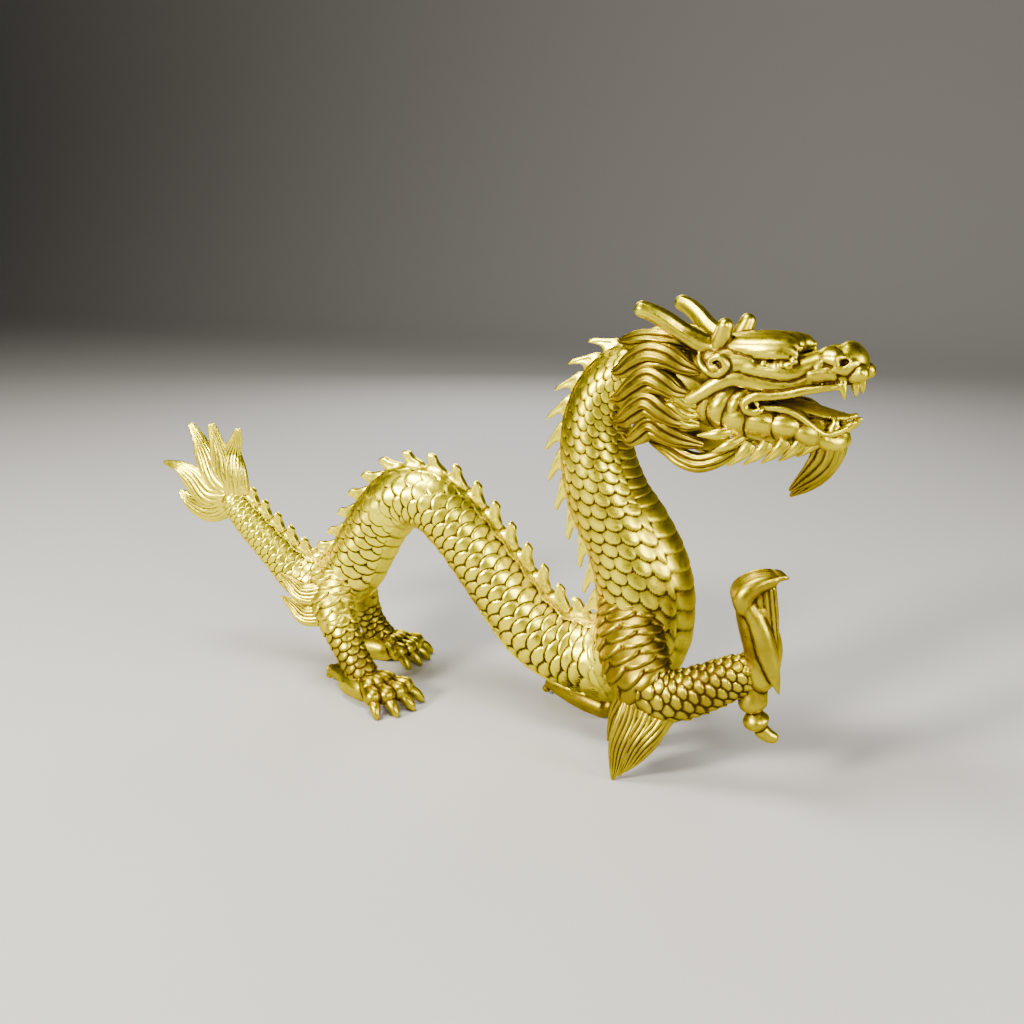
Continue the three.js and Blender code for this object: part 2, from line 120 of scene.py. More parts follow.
def tube(stations, sides, rings, place=None, across=(0, 1, 0), skin=None, blunt=0.8):
    """Closed tube carried along a line: ring point = centre + cos(turn) * (half width + out) * side
    + sin(turn) * (half height + out) * up, where out and the dirt and painted shade come from skin(share,
    turn). Both ends draw in as quarter ellipses as deep as blunt times the girth, and end in a pole. The
    rings are a number, closer at the ends, or the shares of the line where they stand, for a stretch of it
    only."""
    at, length = line(stations, place, across)
    if np.ndim(rings):
        shares, ends = rings, rings[[0, -1]]
    else:
        polar = np.linspace(0, np.pi, rings + 2)[1:-1]
        shares, ends = np.clip(0.5 * polar / np.pi + 0.25 * (1 - np.cos(polar)), 0, 1), np.array([0.0, 1.0])
    turns = np.arange(sides) / sides * 2 * np.pi
    centre, _, side, up, wide, tall = at(shares)
    out, dirt_and_shade = skin(shares[:, None], turns[None, :]) if skin else (0.0, 0.0)
    reach = np.minimum(shares, 1 - shares) * length
    depth = np.maximum(blunt * np.maximum(wide, tall), 1e-6)
    drawn = np.sqrt(np.clip(1 - (1 - np.clip(reach / depth, 0, 1)) ** 2, 0, 1))[:, None]
    grid = (centre[:, None] + (np.cos(turns) * drawn * (wide[:, None] + out))[..., None] * side[:, None]
            + (np.sin(turns) * drawn * (tall[:, None] + out))[..., None] * up[:, None])
    return closed(grid, *at(ends)[0], dirt_and_shade)


def closed(grid, first, last, dirt_and_shade=0.0):
    """A grid of rings as a closed surface: quads between neighbouring rings, and a fan to a pole at
    each end. Faces point outwards where rings turn from side to up."""
    rings, sides = grid.shape[:2]
    n = rings * sides
    at = np.arange(n).reshape(rings, sides)
    nxt = np.roll(at, -1, axis=1)
    quads = np.stack([at[:-1], nxt[:-1], nxt[1:], at[1:]], -1).reshape(-1, 4)
    fans = np.vstack([np.stack([np.full(sides, n), nxt[0], at[0]], 1),
                      np.stack([np.full(sides, n + 1), at[-1], nxt[-1]], 1)])
    dirt_and_shade = np.append(np.broadcast_to(dirt_and_shade, (rings, sides)).ravel(), [0.0, 0.0])
    return np.vstack([grid.reshape(-1, 3), first, last]), quads, fans, dirt_and_shade


def relief(mesh, co):
    """How far each vertex stands above (+) or below (-) the surface averaged round it: the way out along its
    normal from the mean of 6 and of 36 passes over its neighbours, as shares of 0.12 and 0.5 mm, each cut
    at -1 and 1, and added."""
    normal = np.empty(len(co) * 3, np.float32)
    mesh.vertices.foreach_get("normal", normal)
    edge = np.empty(len(mesh.edges) * 2, np.int32)
    mesh.edges.foreach_get("vertices", edge)
    edge = edge.reshape(-1, 2)
    count = np.maximum(np.bincount(edge.ravel(), minlength=len(co)), 1)
    flat, height = co.astype(float), 0
    for passes, full in ((6, 0.00012), (30, 0.0005)):
        for _ in range(passes):
            flat = np.stack([(np.bincount(edge[:, 0], flat[edge[:, 1], k], len(co))
                              + np.bincount(edge[:, 1], flat[edge[:, 0], k], len(co))) / count
                             for k in range(3)], 1)
        height = height + np.clip(((co - flat) * normal.reshape(-1, 3)).sum(1) / full, -1, 1)
    return height


def way(x, start, stop):
    """How far x has gone from start to stop, kept within 0 and 1."""
    return np.clip((x - start) / (stop - start), 0, 1)


def eased(w):
    """w from 0 to 1 with a gentle start and stop: 3w^2 - 2w^3."""
    return w * w * (3 - 2 * w)


# Pieces that are much handled are rubbed unevenly: not at all at the first x and z, fully from the second.
# Less rub leaves a deeper tone, and this darkening of low and forward parts and of whole pieces is partly
# patina and partly painted shade.
MUCH_HANDLED_AND_LIT, RUB_AND_SHADE_FRONT, RUB_AND_SHADE_LOW = 0.5, (90, 54), (12, 44)


def cast(name, surface, finish, handling_and_light=1.0, melt=None):
    """A finished piece of the casting: the surface in metres in the part's frame, melted where it has to be,
    kept inside the solid's box with its soles flat on the ground, and told its relief, its dirt and painted
    shade, and its rub. Rub is hands, how much the piece is handled and how light its tone is painted, so
    partly painted light and shade; on a much handled one, hands * eased(way over x in RUB_AND_SHADE_FRONT *
    way over z in RUB_AND_SHADE_LOW)."""
    points, quads, fans, dirt_and_shade = surface
    mesh = bpy.data.meshes.new(name)
    mesh.vertices.add(len(points))
    mesh.vertices.foreach_set("co", (points / 1000 + origin).astype(np.float32).ravel())
    loops = np.concatenate([quads.ravel(), fans.ravel()]).astype(np.int32)
    starts = np.concatenate([np.arange(len(quads)) * 4, len(quads) * 4 + np.arange(len(fans)) * 3])
    mesh.loops.add(len(loops))
    mesh.loops.foreach_set("vertex_index", loops)
    mesh.polygons.add(len(starts))
    mesh.polygons.foreach_set("loop_start", starts.astype(np.int32))
    mesh.update(calc_edges=True)
    mesh.validate()
    piece = bpy.data.objects.new(name, mesh)
    scene.collection.objects.link(piece)
    if melt:
        mesh = melt(piece)
    co = np.empty(len(mesh.vertices) * 3, np.float32)
    mesh.vertices.foreach_get("co", co)
    co = np.clip(co.reshape(-1, 3), low, high)
    mesh.vertices.foreach_set("co", co.astype(np.float32).ravel())
    mesh.polygons.foreach_set("use_smooth", np.ones(len(mesh.polygons), bool))
    mesh.update()
    x, _, z = ((co - origin) * 1000).T
    # Less rub towards the front and the bottom gives a darker tone there: partly painted shade.
    rub = way(x, *RUB_AND_SHADE_FRONT) * way(z, *RUB_AND_SHADE_LOW) if handling_and_light > MUCH_HANDLED_AND_LIT else np.ones(len(co))
    marks = {"relief": relief(mesh, co), "rub": handling_and_light * eased(rub)}
    if not melt:
        marks["age"] = dirt_and_shade
    for mark, values in marks.items():
        layer = mesh.attributes.new(mark, "FLOAT", "POINT")
        layer.data.foreach_set("value", values.astype(np.float32))
    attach(piece, "root")
    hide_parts("dragon")
    mesh.materials.append(finish)
    return piece


def scales(rows, columns, height, deep, soft, dome=0.35):
    """Roof of overlapping rounded scales. Row k's scales are centred on whole columns, every other row
    on half ones. A scale's free edge is the arc row = k - deep * root(1 - (2v/1.08)^2.3), v being the way
    across from its middle. Of the scales over a point the one nearest the head is on top, d rows in from
    its free edge, and stands height * ((1 - d/2.2) * (1 - dome * (2v)^2) - 0.5). Also gives a dark line of
    dirt and painted shade along every free edge, and one of dirt between neighbours, 1 in the line and
    falling off as exp(-(distance/soft)^2), and a thinner painted shadow, 0.6 * exp(-distance/0.3), reaching
    from it over the next scale."""
    def one(k):
        v = np.abs((columns - 0.5 * (k % 2)) % 1.0 - 0.5)
        edge = deep * np.sqrt(np.clip(1 - (v / 0.54) ** 2.3, 0, 1))
        return rows - (k - edge), v

    def lift(d, v):
        return height * ((1 - d / 2.2) * (1 - dome * (2 * v) ** 2) - 0.5)

    k = np.floor(rows)
    below, above, third = one(k), one(k + 1), one(k + 2)
    step = eased(np.clip(above[0] / soft + 0.5, 0, 1))
    gap = np.where(above[0] >= 0.02, -third[0], np.maximum(-above[0], 0))
    seam = 0.5 - np.where(above[0] >= 0, above[1], below[1])
    # Dark lines of dirt and painted shade under the free edges, dark joints between neighbours, and a painted
    # shadow cast from each free edge over the next scale.
    dirt_and_shade = np.maximum(np.exp(-((gap - 0.3 * soft) / soft) ** 2), 0.8 * np.exp(-(seam / (0.35 * soft)) ** 2))
    return lift(*below) + step * (lift(*above) - lift(*below)), np.maximum(dirt_and_shade, 0.6 * np.exp(-gap / 0.3))


trunk_at, trunk_length = line(TRUNK)
fine = np.linspace(0, 1, 4001)
centre, ahead, side, up, girth, _ = trunk_at(fine)
CHEST = fine[np.linalg.norm(centre - (35, 0, 31), axis=1).argmin()]
# Scale rows count along the middle line; fins count along the back, wider apart as the root of the girth.
pitch = np.where(fine[1:] < NECK_FROM, BODY_ROW, NECK_ROW) * girth[1:]
row_count = np.concatenate([[0], np.cumsum(np.diff(fine) * trunk_length / pitch)])
back = np.diff(centre + up * girth[:, None], axis=0)
back = np.maximum((back * ahead[1:]).sum(1), 0.45 * trunk_length / 4000) / girth[1:] ** 0.5
FINS = 38
fin_count = np.concatenate([[0], np.cumsum(back)])
fin_count *= FINS / fin_count[-1]


def trunk_skin(share, turn, columns, deep, by_back, by_belly, soft, half_belly, plates, curve, slant):
    """Height of the trunk's skin over its round section, and the dirt and painted shade in its lines. Along
    the back runs a band, its edges scalloped by 0.045 * cos(2 pi fins), with grooves
    depth * exp(-(distance / 0.3)^2) along them. On the flanks lie scales, lower by the back than by the
    belly.
    On the belly lie sloping plates 0.026 * radius * (0.6 - plate + lip) high, plate running from 0 to 1 over
    each and lip over its last quarter; they fade out under the flanks and narrow on the tail."""
    radius = np.interp(share, fine, girth)
    rows = np.interp(share, fine, row_count) + 0 * turn
    fins = np.interp(share, fine, fin_count) + 0 * turn
    from_back = np.abs(np.arctan2(np.sin(turn - np.pi / 2), np.cos(turn - np.pi / 2))) + 0 * share
    from_belly = np.pi - from_back
    half_belly = half_belly - 0.35 * way(share, 0.29, 0.21)
    height = by_back + (by_belly - by_back) * way(from_back, 0.4, 1.3)
    across = (from_back - BAND) / (np.pi - half_belly - BAND) * columns
    out, dirt_and_shade = scales(rows + slant * from_back, across, height * radius, deep, soft)

    bowed = curve * np.cos(from_belly / half_belly * np.pi / 2)
    plate = ((rows + slant * (np.pi - half_belly)) * plates + bowed) % 1.0
    lip = eased(way(plate, 0.74, 1.0))
    fade = np.clip((half_belly - from_belly) / 0.05, 0, 1) ** 0.5
    on_belly = from_belly < half_belly
    out = np.where(on_belly, 0.026 * radius * (0.6 - plate + lip) * fade, out)
    # The belly plates are a little darker all over, with a dark line of dirt and painted shade on the rise of
    # each lip.
    dirt_and_shade = np.where(on_belly, 0.08 + 0.75 * np.exp(-((plate - 0.84) / 0.09) ** 2), dirt_and_shade)

    band = BAND + 0.045 * np.cos(2 * np.pi * fins)
    edge = (band - from_back) * radius
    ridge, grime = BAND_HEIGHT, 0
    for inside, depth, stain in GROOVES:
        ridge = ridge - depth * np.exp(-((edge - inside) / 0.3) ** 2)
        grime = grime + stain * np.exp(-((edge - inside) / 0.35) ** 2)
    out, dirt_and_shade = np.where(from_back < band, ridge, out), np.where(from_back < band, grime, dirt_and_shade)

    # A patch left rough and brown, out of the polisher's reach between the chest and the raised leg.
    rough = np.exp(-((share - CHEST - 0.008) / 0.024) ** 2 - ((from_back - 2.1) / 0.34) ** 2)
    rough = rough * (np.cos(turn) < 0)
    return out + 0.5 * rough * np.sin(97 * turn) * np.sin(900 * share), np.maximum(dirt_and_shade, 1.5 * rough)


# Its finish is satin polished brass, browned and then rubbed: the brown stays in the hollows, as patina
# there and as painted shade in the deeper recesses and under the scales' edges; the less rubbed places keep
# a deeper tone, partly as painted shade; hands have worn the raised edges pale, a pale that is also a painted
# highlight; and a fine grain is left from the mould.
GOLD, DEEP_GOLD = (1.0, 0.89, 0.003), (0.2, 0.125, 0.006)
BROWN, PALE = (0.046, 0.026, 0.003), (1.0, 0.865, 0.012)
POLISH, GRAIN_DEPTH = 0.225, 0.00006


def wire(tree, made):
    """Makes nodes from {name: (type, {property: value}, {socket: value})}. A value in words is a link from
    "node/output", or from "node", its main output."""
    for key, (kind, props, _) in made.items():
        node = tree.nodes.get(key) or tree.nodes.new(kind)
        node.name = node.label = key
        for prop, value in props.items():
            setattr(node, prop, value)
    for key, (_, _, sockets) in made.items():
        for socket, value in sockets.items():
            if isinstance(value, str):
                source, _, output = value.partition("/")
                outputs = tree.nodes[source].outputs
                main = 2 if made[source][0] == "ShaderNodeMix" else 0
                tree.links.new(outputs[output or main], tree.nodes[key].inputs[socket])
            else:
                tree.nodes[key].inputs[socket].default_value = value


def noise(scale, detail, roughness):
    """Cloudy noise: its scale in cells a metre, how many finer layers it has, and their share."""
    return "ShaderNodeTexNoise", {}, {
        "Vector": "in/Place", "Scale": scale, "Detail": detail, "Roughness": roughness}


def ramp(value, start, stop, first=0.0, last=1.0, smooth=False):
    """The value's stretch from start to stop turned into first to last, evenly or eased."""
    kind = "SMOOTHSTEP" if smooth else "LINEAR"
    return "ShaderNodeMapRange", {"interpolation_type": kind}, {
        "Value": value, "From Min": start, "From Max": stop, "To Min": first, "To Max": last}


def total(first, second, clamp=False):
    """first + second."""
    return "ShaderNodeMath", {"operation": "ADD", "use_clamp": clamp}, {0: first, 1: second}


def scaled(first, factor, second, clamp=False):
    """first * factor + second."""
    return "ShaderNodeMath", {"operation": "MULTIPLY_ADD", "use_clamp": clamp}, {
        0: first, 1: factor, 2: second}


def blend(factor, first, second):
    """first * (1 - factor) + second * factor, of two colours."""
    return "ShaderNodeMix", {"data_type": "RGBA"}, {"Factor": factor, 6: first, 7: second}


aged = bpy.data.node_groups.new("aged_and_shaded_brass", "ShaderNodeTree")
for flow, sockets in (
        ("INPUT", {"Place": "Vector", "Relief": "Float", "Bright": "Color", "Tone": "Color",
                   "Patina": "Color", "Worn": "Color", "Age": "Float", "Rub": "Float", "Polish": "Float"}),
        ("OUTPUT", {"Color": "Color", "Roughness": "Float", "Height": "Float"})):
    for label, kind in sockets.items():
        aged.interface.new_socket(label, in_out=flow, socket_type="NodeSocket" + kind)
wire(aged, {
    "in": ("NodeGroupInput", {}, {}),
    "clouds": noise(55.0, 5.0, 0.6),
    "mottle": noise(420.0, 4.0, 0.65),
    "grain": noise(2200.0, 3.0, 0.6),
    # Rubbing, uneven in clouds, thins the brown cover. Hollows keep it, as patina and, in deeper recesses,
    # as painted shade, and the mottle breaks it up.
    "cloud_mask": ramp("clouds", 0.36, 0.68, 0.22, -0.22),
    "rubbing_and_light": total("cloud_mask", "in/Rub", clamp=True),
    "cover": ramp("rubbing_and_light", 0.0, 1.0, 0.2, -0.10),
    "hollow": ramp("in/Relief", 0.10, -0.95, smooth=True),
    "hollow_cover": scaled("hollow", 0.95, "cover"),
    "mottle_lift": ramp("mottle", 0.3, 0.7, -0.22, 0.22),
    "stain": total("hollow_cover", "mottle_lift"),
    # The dark lines of dirt and painted shade and the painted shadows under the scales' edges add to the
    # brown.
    "stain_and_shade": scaled("in/Age", 0.8, "stain", clamp=True),
    # Edges are worn pale, the more the piece is rubbed; the pale edges are also a painted highlight.
    "edge": ramp("in/Relief", 0.30, 1.2, smooth=True),
    "worn_and_highlit_share": ramp("in/Rub", 0.0, 1.0, 0.12, 0.9),
    "worn": ("ShaderNodeMath", {"operation": "MULTIPLY", "use_clamp": True}, {0: "edge", 1: "worn_and_highlit_share"}),
    "ground": blend("rubbing_and_light", "in/Tone", "in/Bright"),
    "stained_and_shaded": blend("stain_and_shade", "ground", "in/Patina"),
    "rubbed_and_highlit": blend("worn", "stained_and_shaded", "in/Worn"),
    # Brown and mottled places are rougher, and the grain stands in fine relief.
    "stain_rough": scaled("stain_and_shade", 0.25, "in/Polish"),
    "mottle_rough": scaled("mottle", 0.12, "stain_rough"),
    "height": scaled("mottle", 0.45, "grain"),
    "out": ("NodeGroupOutput", {}, {"Color": "rubbed_and_highlit", "Roughness": "mottle_rough", "Height": "height"}),
})

gold = bpy.data.materials.new("brass_polished")
gold.use_nodes = True
gold.node_tree.nodes["Principled BSDF"].name = "surface"
wire(gold.node_tree, {
    "place": ("ShaderNodeTexCoord", {}, {}),
    **{mark: ("ShaderNodeAttribute", {"attribute_name": mark}, {}) for mark in ("relief", "age", "rub")},
    "aged": ("ShaderNodeGroup", {"node_tree": aged}, {
        "Place": "place/Object", "Relief": "relief/Fac", "Age": "age/Fac", "Rub": "rub/Fac", "Polish": POLISH,
        "Bright": (*GOLD, 1.0), "Tone": (*DEEP_GOLD, 1.0), "Patina": (*BROWN, 1.0), "Worn": (*PALE, 1.0)}),
    "bump": ("ShaderNodeBump", {}, {"Strength": 0.6, "Distance": GRAIN_DEPTH, "Height": "aged/Height"}),
    "surface": ("ShaderNodeBsdfPrincipled", {}, {
        "Metallic": 1.0, "Specular Tint": (1.0, 0.86, 0.34, 1.0), "Base Color": "aged/Color",
        "Roughness": "aged/Roughness", "Normal": "bump/Normal"}),
})

BEYOND, SUNK = np.array([1, 2]) / 7, np.array([0.03, 1.5])    # past a cut: rows on, and mm in
for name, start, stop, kind, per_row, handling_and_light in TRUNK_PARTS:
    rows = np.arange(np.interp(start, fine, row_count), np.interp(stop, fine, row_count), 1 / per_row)
    # At a cut the skin runs on under its neighbour and then turns in, so that no seam shows.
    sunk = np.zeros(len(rows))
    if start > 0:
        rows, sunk = np.append(rows[0] - BEYOND[::-1], rows), np.append(SUNK[::-1], sunk)
    if stop < 1:
        rows, sunk = np.append(rows, rows[-1] + BEYOND), np.append(sunk, SUNK)

    def skin(share, turn):
        out, dirt_and_shade = trunk_skin(share, turn, **kind)
        return out - sunk[:, None], dirt_and_shade

    cast(name, tube(TRUNK, 176, np.interp(rows, row_count, fine), skin=skin), gold, handling_and_light)

# A thin raised edge, the wax's parting line, runs low along the right flank from the loop to the chest.
EDGE_TURN, EDGE_RADIUS = 2.28, 0.75    # radians from the back, and mm
centre, _, side, up, radius, _ = trunk_at(np.linspace(CHEST - 0.11, CHEST + 0.012, 9))
edge = centre + radius[:, None] * (np.cos(EDGE_TURN) * up - np.sin(EDGE_TURN) * side)
cast("casting_edge", tube([(*point, EDGE_RADIUS) for point in edge], 16, 80), gold)

# ---- Fins along the back
# A row of hooked fins stands on the band, each like a breaking wave that rolls towards the tail and runs out
# in a low foot towards the head. They are cast with the body, hollowed on both faces inside a rounded rim.
FIN = np.array([  # level, tail edge, head edge, in shares of a fin's height and pitch; half thickness in mm
    (-0.5, 0.00, 1.00, 2.4), (0.0, 0.05, 1.00, 2.3), (0.12, 0.13, 0.96, 2.2), (0.28, 0.15, 0.86, 2.1),
    (0.40, 0.13, 0.71, 2.0), (0.52, 0.10, 0.59, 1.9), (0.66, 0.06, 0.50, 1.8), (0.80, 0.03, 0.44, 1.7),
    (0.90, 0.02, 0.41, 1.5), (0.96, 0.04, 0.37, 1.2), (1.0, 0.12, 0.29, 0.7)])
FIN_LEVELS = np.concatenate([np.linspace(-0.5, 0.9, 16), [0.94, 0.97, 0.99, 1.0]])[:, None]
FINS_FROM, FINS_TO = 0.02, 0.95        # shares of the trunk's length
HOOKED = 0.56, 0.68                    # where the fins begin to hook, and where they are fully hooked


def fin(at, direction, side, up, pitch, height, hook):
    """One fin. On each level stands a ring whose length runs from the tail edge to the head edge, and whose
    half thickness is thick * root|cos turn| * (1 - 0.25 * hollow * face^3) * (1 + 0.04 * cos(5 pi sin turn)),
    with face = cos^2 turn and hollow fading out at the foot and the tip. A hook shortens the rings by up to
    a quarter and pulls them to the tail by 0.75 * hook * (level - 0.25)^1.5 heights, and down by 0.22 of
    that."""
    tail, head, thick = (np.interp(FIN_LEVELS, FIN[:, 0], FIN[:, k]) for k in (1, 2, 3))
    turn = np.arange(28) / 28 * 2 * np.pi
    face = np.cos(turn) ** 2
    hollow = np.clip(FIN_LEVELS * 4, 0, 1) * np.clip((0.95 - FIN_LEVELS) * 3, 0, 1)
    flutes = 1 + 0.04 * np.cos(5 * np.pi * np.sin(turn)) * np.clip(3 * (FIN_LEVELS + 0.1), 0, 1)
    pull = hook * np.clip(FIN_LEVELS - 0.25, 0, 1) ** 1.5 * 0.75
    x = ((tail + head) / 2 - 0.5) * pitch - pull * height
    x = x + (head - tail) / 2 * pitch * np.sin(turn) * (1 - 0.25 * hook * FIN_LEVELS)
    y = thick * np.sign(np.cos(turn)) * np.abs(np.cos(turn)) ** 0.5 * (1 - 0.25 * face**3 * hollow) * flutes
    z = (FIN_LEVELS - 0.22 * pull) * height + 0 * turn
    grid = at + x[..., None] * direction + y[..., None] * side + z[..., None] * up
    dirt_and_shade = 0.25 * (face > 0.6) * np.clip((0.7 - FIN_LEVELS) * 2, 0, 1)
    return closed(grid[:, ::-1], grid[0].mean(0), grid[-1].mean(0) + 0.12 * up, dirt_and_shade)


def gathered(parts):
    """Several closed surfaces as one list of points, quads, triangles, and dirt and painted shade."""
    base = np.concatenate([[0], np.cumsum([len(p[0]) for p in parts])])
    return (np.vstack([p[0] for p in parts]), np.vstack([p[1] + n for p, n in zip(parts, base)]),
            np.vstack([p[2] + n for p, n in zip(parts, base)]), np.concatenate([p[3] for p in parts]))


fins = []
for k in np.arange(FINS) + 0.5:
    share = np.interp(k, fin_count, fine)
    if not FINS_FROM < share < FINS_TO:
        continue
    centre, _, _, up, radius, _ = trunk_at(np.interp([k - 0.5, k + 0.5], fin_count, fine))
    feet = centre + up * (radius[:, None] + 0.7)
    length = np.linalg.norm(feet[1] - feet[0])
    along = (feet[1] - feet[0]) / length
    side = trunk_at(np.array([share]))[2][0]
    hook = way(share, *HOOKED)
    height = 4.6 + 1.8 * min(1.0, 3 * share) + 1.6 * hook    # from 4.6 mm on the tail to 8 on the neck
    fins.append(fin(feet.mean(0), along, side, np.cross(along, side), length * 1.02,
                    min(height, 0.75 * length), hook))
cast("back_fins", gathered(fins), gold, 0.9)

# ---- Tail tuft
# A flame of hair closes the tail: five thick locks with curled blunt tips, cast with the tail and grooved
# along their length in the wax.


def strands(count, depth, fine=0.0):
    """Hair grooves along a lock: depth * (|cos(count * turn / 2)| - 0.64), turn winding to and fro by
    0.16 * sin(7 share), a share of them three times finer, all fading as sin(pi share)^0.4 towards both
    ends. Dirt lies in the grooves."""
    def skin(share, turn):
        wound = count * (turn + 0.16 * np.sin(7 * share)) / 2
        wave, hair = np.abs(np.cos(wound)), np.abs(np.cos(3 * wound))
        fade = np.sin(np.pi * np.clip(share, 0, 1)) ** 0.4
        line_dirt = np.maximum(0.8 * np.exp(-(wave / 0.22) ** 2), 2 * fine * np.exp(-(hair / 0.4) ** 2))
        return depth * ((1 - fine) * wave + fine * hair - 0.64) * fade, line_dirt * fade
    return skin


TUFT = [  # x, y, z, half width, half height of each lock from its root
    [(-144, -4, 78, 5, 6), (-158, -4, 73, 5, 6.6), (-168, -4, 75, 3.6, 4.4), (-175, -5, 80, 1, 1)],
    [(-142, -4, 80, 5, 6), (-156, -4, 80, 5.4, 8), (-166, -5, 87.5, 4, 6), (-172, -6, 92, 3, 2.8),
     (-182, -6, 93.6, 1, 1)],
    [(-142, -4, 82, 5, 6), (-151, -4, 88, 5, 8), (-159, -3, 99, 3.6, 5.4), (-162.4, -3, 107, 2.4, 3),
     (-166.5, -3, 113.4, 1.2, 1.2)],
    [(-141, -4, 82, 5, 6), (-146, -4, 92, 5, 7.4), (-149, -5, 103, 3, 4.4), (-152, -5, 115, 1.4, 1.4)],
    [(-140, -4, 80, 5, 6), (-141.6, -4, 92, 4.6, 6.4), (-142.6, -3, 101, 3.4, 4.6), (-140, -3, 107, 2.4, 3),
     (-138, -3, 113.4, 1.2, 1.2)],
]
cast("tail_tuft", gathered([tube(lock, 72, 50, skin=strands(18, 0.9), blunt=0.4) for lock in TUFT]), gold)

# ---- Legs
# Four short legs cast with the body. Rows of small scales point down them to the paws, and a plume of hair
# flares from each elbow and hock.


def plume(roots, tips, count, bend, radius, grooves):
    """Leaf-shaped locks from a line of roots to a line of tips, their middles pushed aside by bend: each is
    widest at its root and narrows to a point, with grooves along it."""
    roots, tips, bend = (np.array(v, float) for v in (roots, tips, bend))
    leaves = []
    for share in np.linspace(0, 1, count):
        root, tip = roots[0] + share * (roots[1] - roots[0]), tips[0] + share * (tips[1] - tips[0])
        middle = (root + tip) / 2 + bend
        near = middle + 0.6 * (tip - middle)
        leaves.append(tube([(*root, 0.8 * radius, radius), (*middle, 0.7 * radius, radius),
                            (*near, 0.36 * radius, radius * 0.56), (*tip, 0.3, 0.3)], 5 * grooves, 30,
                           skin=strands(grooves, 0.9), blunt=0.3))
    return leaves


def leg(stations, pitch, width, height, soft, dome):
    """A stretch of limb covered in scales that point down to the paw: rows of them one pitch apart, counted
    back from the paw, and as many columns round it as scales of that width go into its mean girth."""
    _, length = line(stations)
    girth = 2 * np.pi * np.mean([s[3] + s[4] for s in stations]) / 2
    columns = round(girth / width)

    def skin(share, turn):
        rows = (1 - share) * length / pitch
        return scales(rows, turn / (2 * np.pi) * columns + 0 * share, height, BODY_SKIN["deep"], soft, dome)

    return tube(stations, min(12, int(width / 0.42)) * columns, int(length / 0.4), skin=skin, blunt=0.6)


# Scales on each stretch: pitch of the rows, width, height, softness of the lines, dome.
THIGH, SHIN = (3.9, 8.4, 2.3, 0.2, 0.3), (3.2, 6.4, 1.8, 0.22, 0.35)
SHOULDER, FOREARM = (3.9, 9.4, 2.6, 0.22, 0.3), (3.3, 5.2, 1.9, 0.22, 0.55)
UPPER_ARM, LOWER_ARM = (3.9, 9.4, 2.2, 0.2, 0.3), (3.2, 6.4, 1.5, 0.2, 0.35)
HIND_RIGHT = [(-89, -3, 54, 7, 9), (-85.4, -10.4, 43, 9, 11.5), (-79, -15.5, 33, 7.8, 9),
              (-71, -18.6, 21, 6.4, 7), (-63, -20, 10, 6, 6.4), (-61, -20, 5, 5, 5)]
HIND_LEFT = [(-92, 5, 52, 7, 9), (-88.5, 12, 40, 8, 10), (-87, 17, 30, 6.6, 7.4), (-84.5, 20, 19, 5.8, 6.2),
             (-79, 21, 10, 6, 6.5), (-77, 21, 5, 5, 5)]
FORE_LEFT = [(60, 10, 54, 9, 14), (58, 18, 44, 9, 12), (49, 24, 32, 8.5, 9.5), (41, 23, 21, 7.5, 8),
             (36, 20, 11, 7, 7.5), (35, 19, 5, 5, 5)]
# The last value of each piece, its handling, also sets how light its tone is painted, partly as painted
# shade.
cast("leg_hind_right", gathered([
    leg(HIND_RIGHT[:3] + [(-75, -17, 27, 6, 6.5)], *THIGH), leg(HIND_RIGHT[1:], *SHIN),
    *plume([(-83, -14, 46), (-81, -15, 37)], [(-111, -15, 50.5), (-109.6, -16, 40)], 2, (1, -2.5, -5),
           4.6, 16),
]), gold, 0.55)
# The far hind leg is given little handling, so its tone is painted dark: painted shade.
cast("leg_hind_left", gathered([
    leg(HIND_LEFT[:3] + [(-86, 19, 25, 5, 5.6)], *THIGH), leg(HIND_LEFT[1:], *SHIN),
    *plume([(-86, 15, 44), (-85, 16, 35)], [(-113, 18, 48), (-111, 18, 38)], 2, (1, 2.5, -5), 4.4, 14),
]), gold, 0.15)
cast("leg_fore_left", gathered([
    leg(FORE_LEFT[:3] + [(45, 23.6, 26, 7, 7.6)], *UPPER_ARM), leg(FORE_LEFT[2:], *LOWER_ARM),
    *plume([(52, 28, 38), (45, 29, 24)], [(31, 38, 28), (33, 36, 15)], 2, (-2, 2, -2), 4.4, 14),
]), gold, 0.4)
cast("shoulder_right", leg(
    [(52, -4, 74, 5, 8), (55.6, -12.5, 60, 7.4, 12), (60.6, -20.6, 47.6, 8.8, 13.6), (67, -26, 38, 9.4, 12.6),
     (74, -28.4, 32, 8.4, 9.6)], *SHOULDER), gold, -0.1)
cast("leg_fore_right", gathered([
    leg([(66, -25.5, 36.4, 7, 9), (72, -28, 34.4, 8.2, 10), (80, -28, 34.4, 8, 9.6),
         (90, -27, 38.6, 7.2, 8.8), (101, -25.5, 45, 6.6, 7.8), (110, -25, 50, 6, 6)], *FOREARM),
    *plume([(66, -30, 31), (78, -29, 29)], [(60.6, -39.5, -0.5), (64.6, -37, 3)], 3, (-0.5, -1, 0), 4.8, 16),
    *plume([(62, -22, 34), (66, -24, 31)], [(50.6, -17, 3), (55, -20, 5)], 2, (0, 0, 0), 4.0, 12),
]), gold, 0.08)

# ---- Standing paws
# Three paws stand on the ground, filed flat underneath: four toes with high knuckles and hooked claws, and
# one toe to the rear that ends in a small ball. Toes and pad melt into one skin, as wax does.


def turned(x, y, z, degrees):
    """Place of a small drawing frame: turned about the upright by degrees, then moved."""
    a = np.radians(degrees)
    return np.array([(np.cos(a), -np.sin(a), 0), (np.sin(a), np.cos(a), 0), (0, 0, 1)]), np.array([x, y, z])


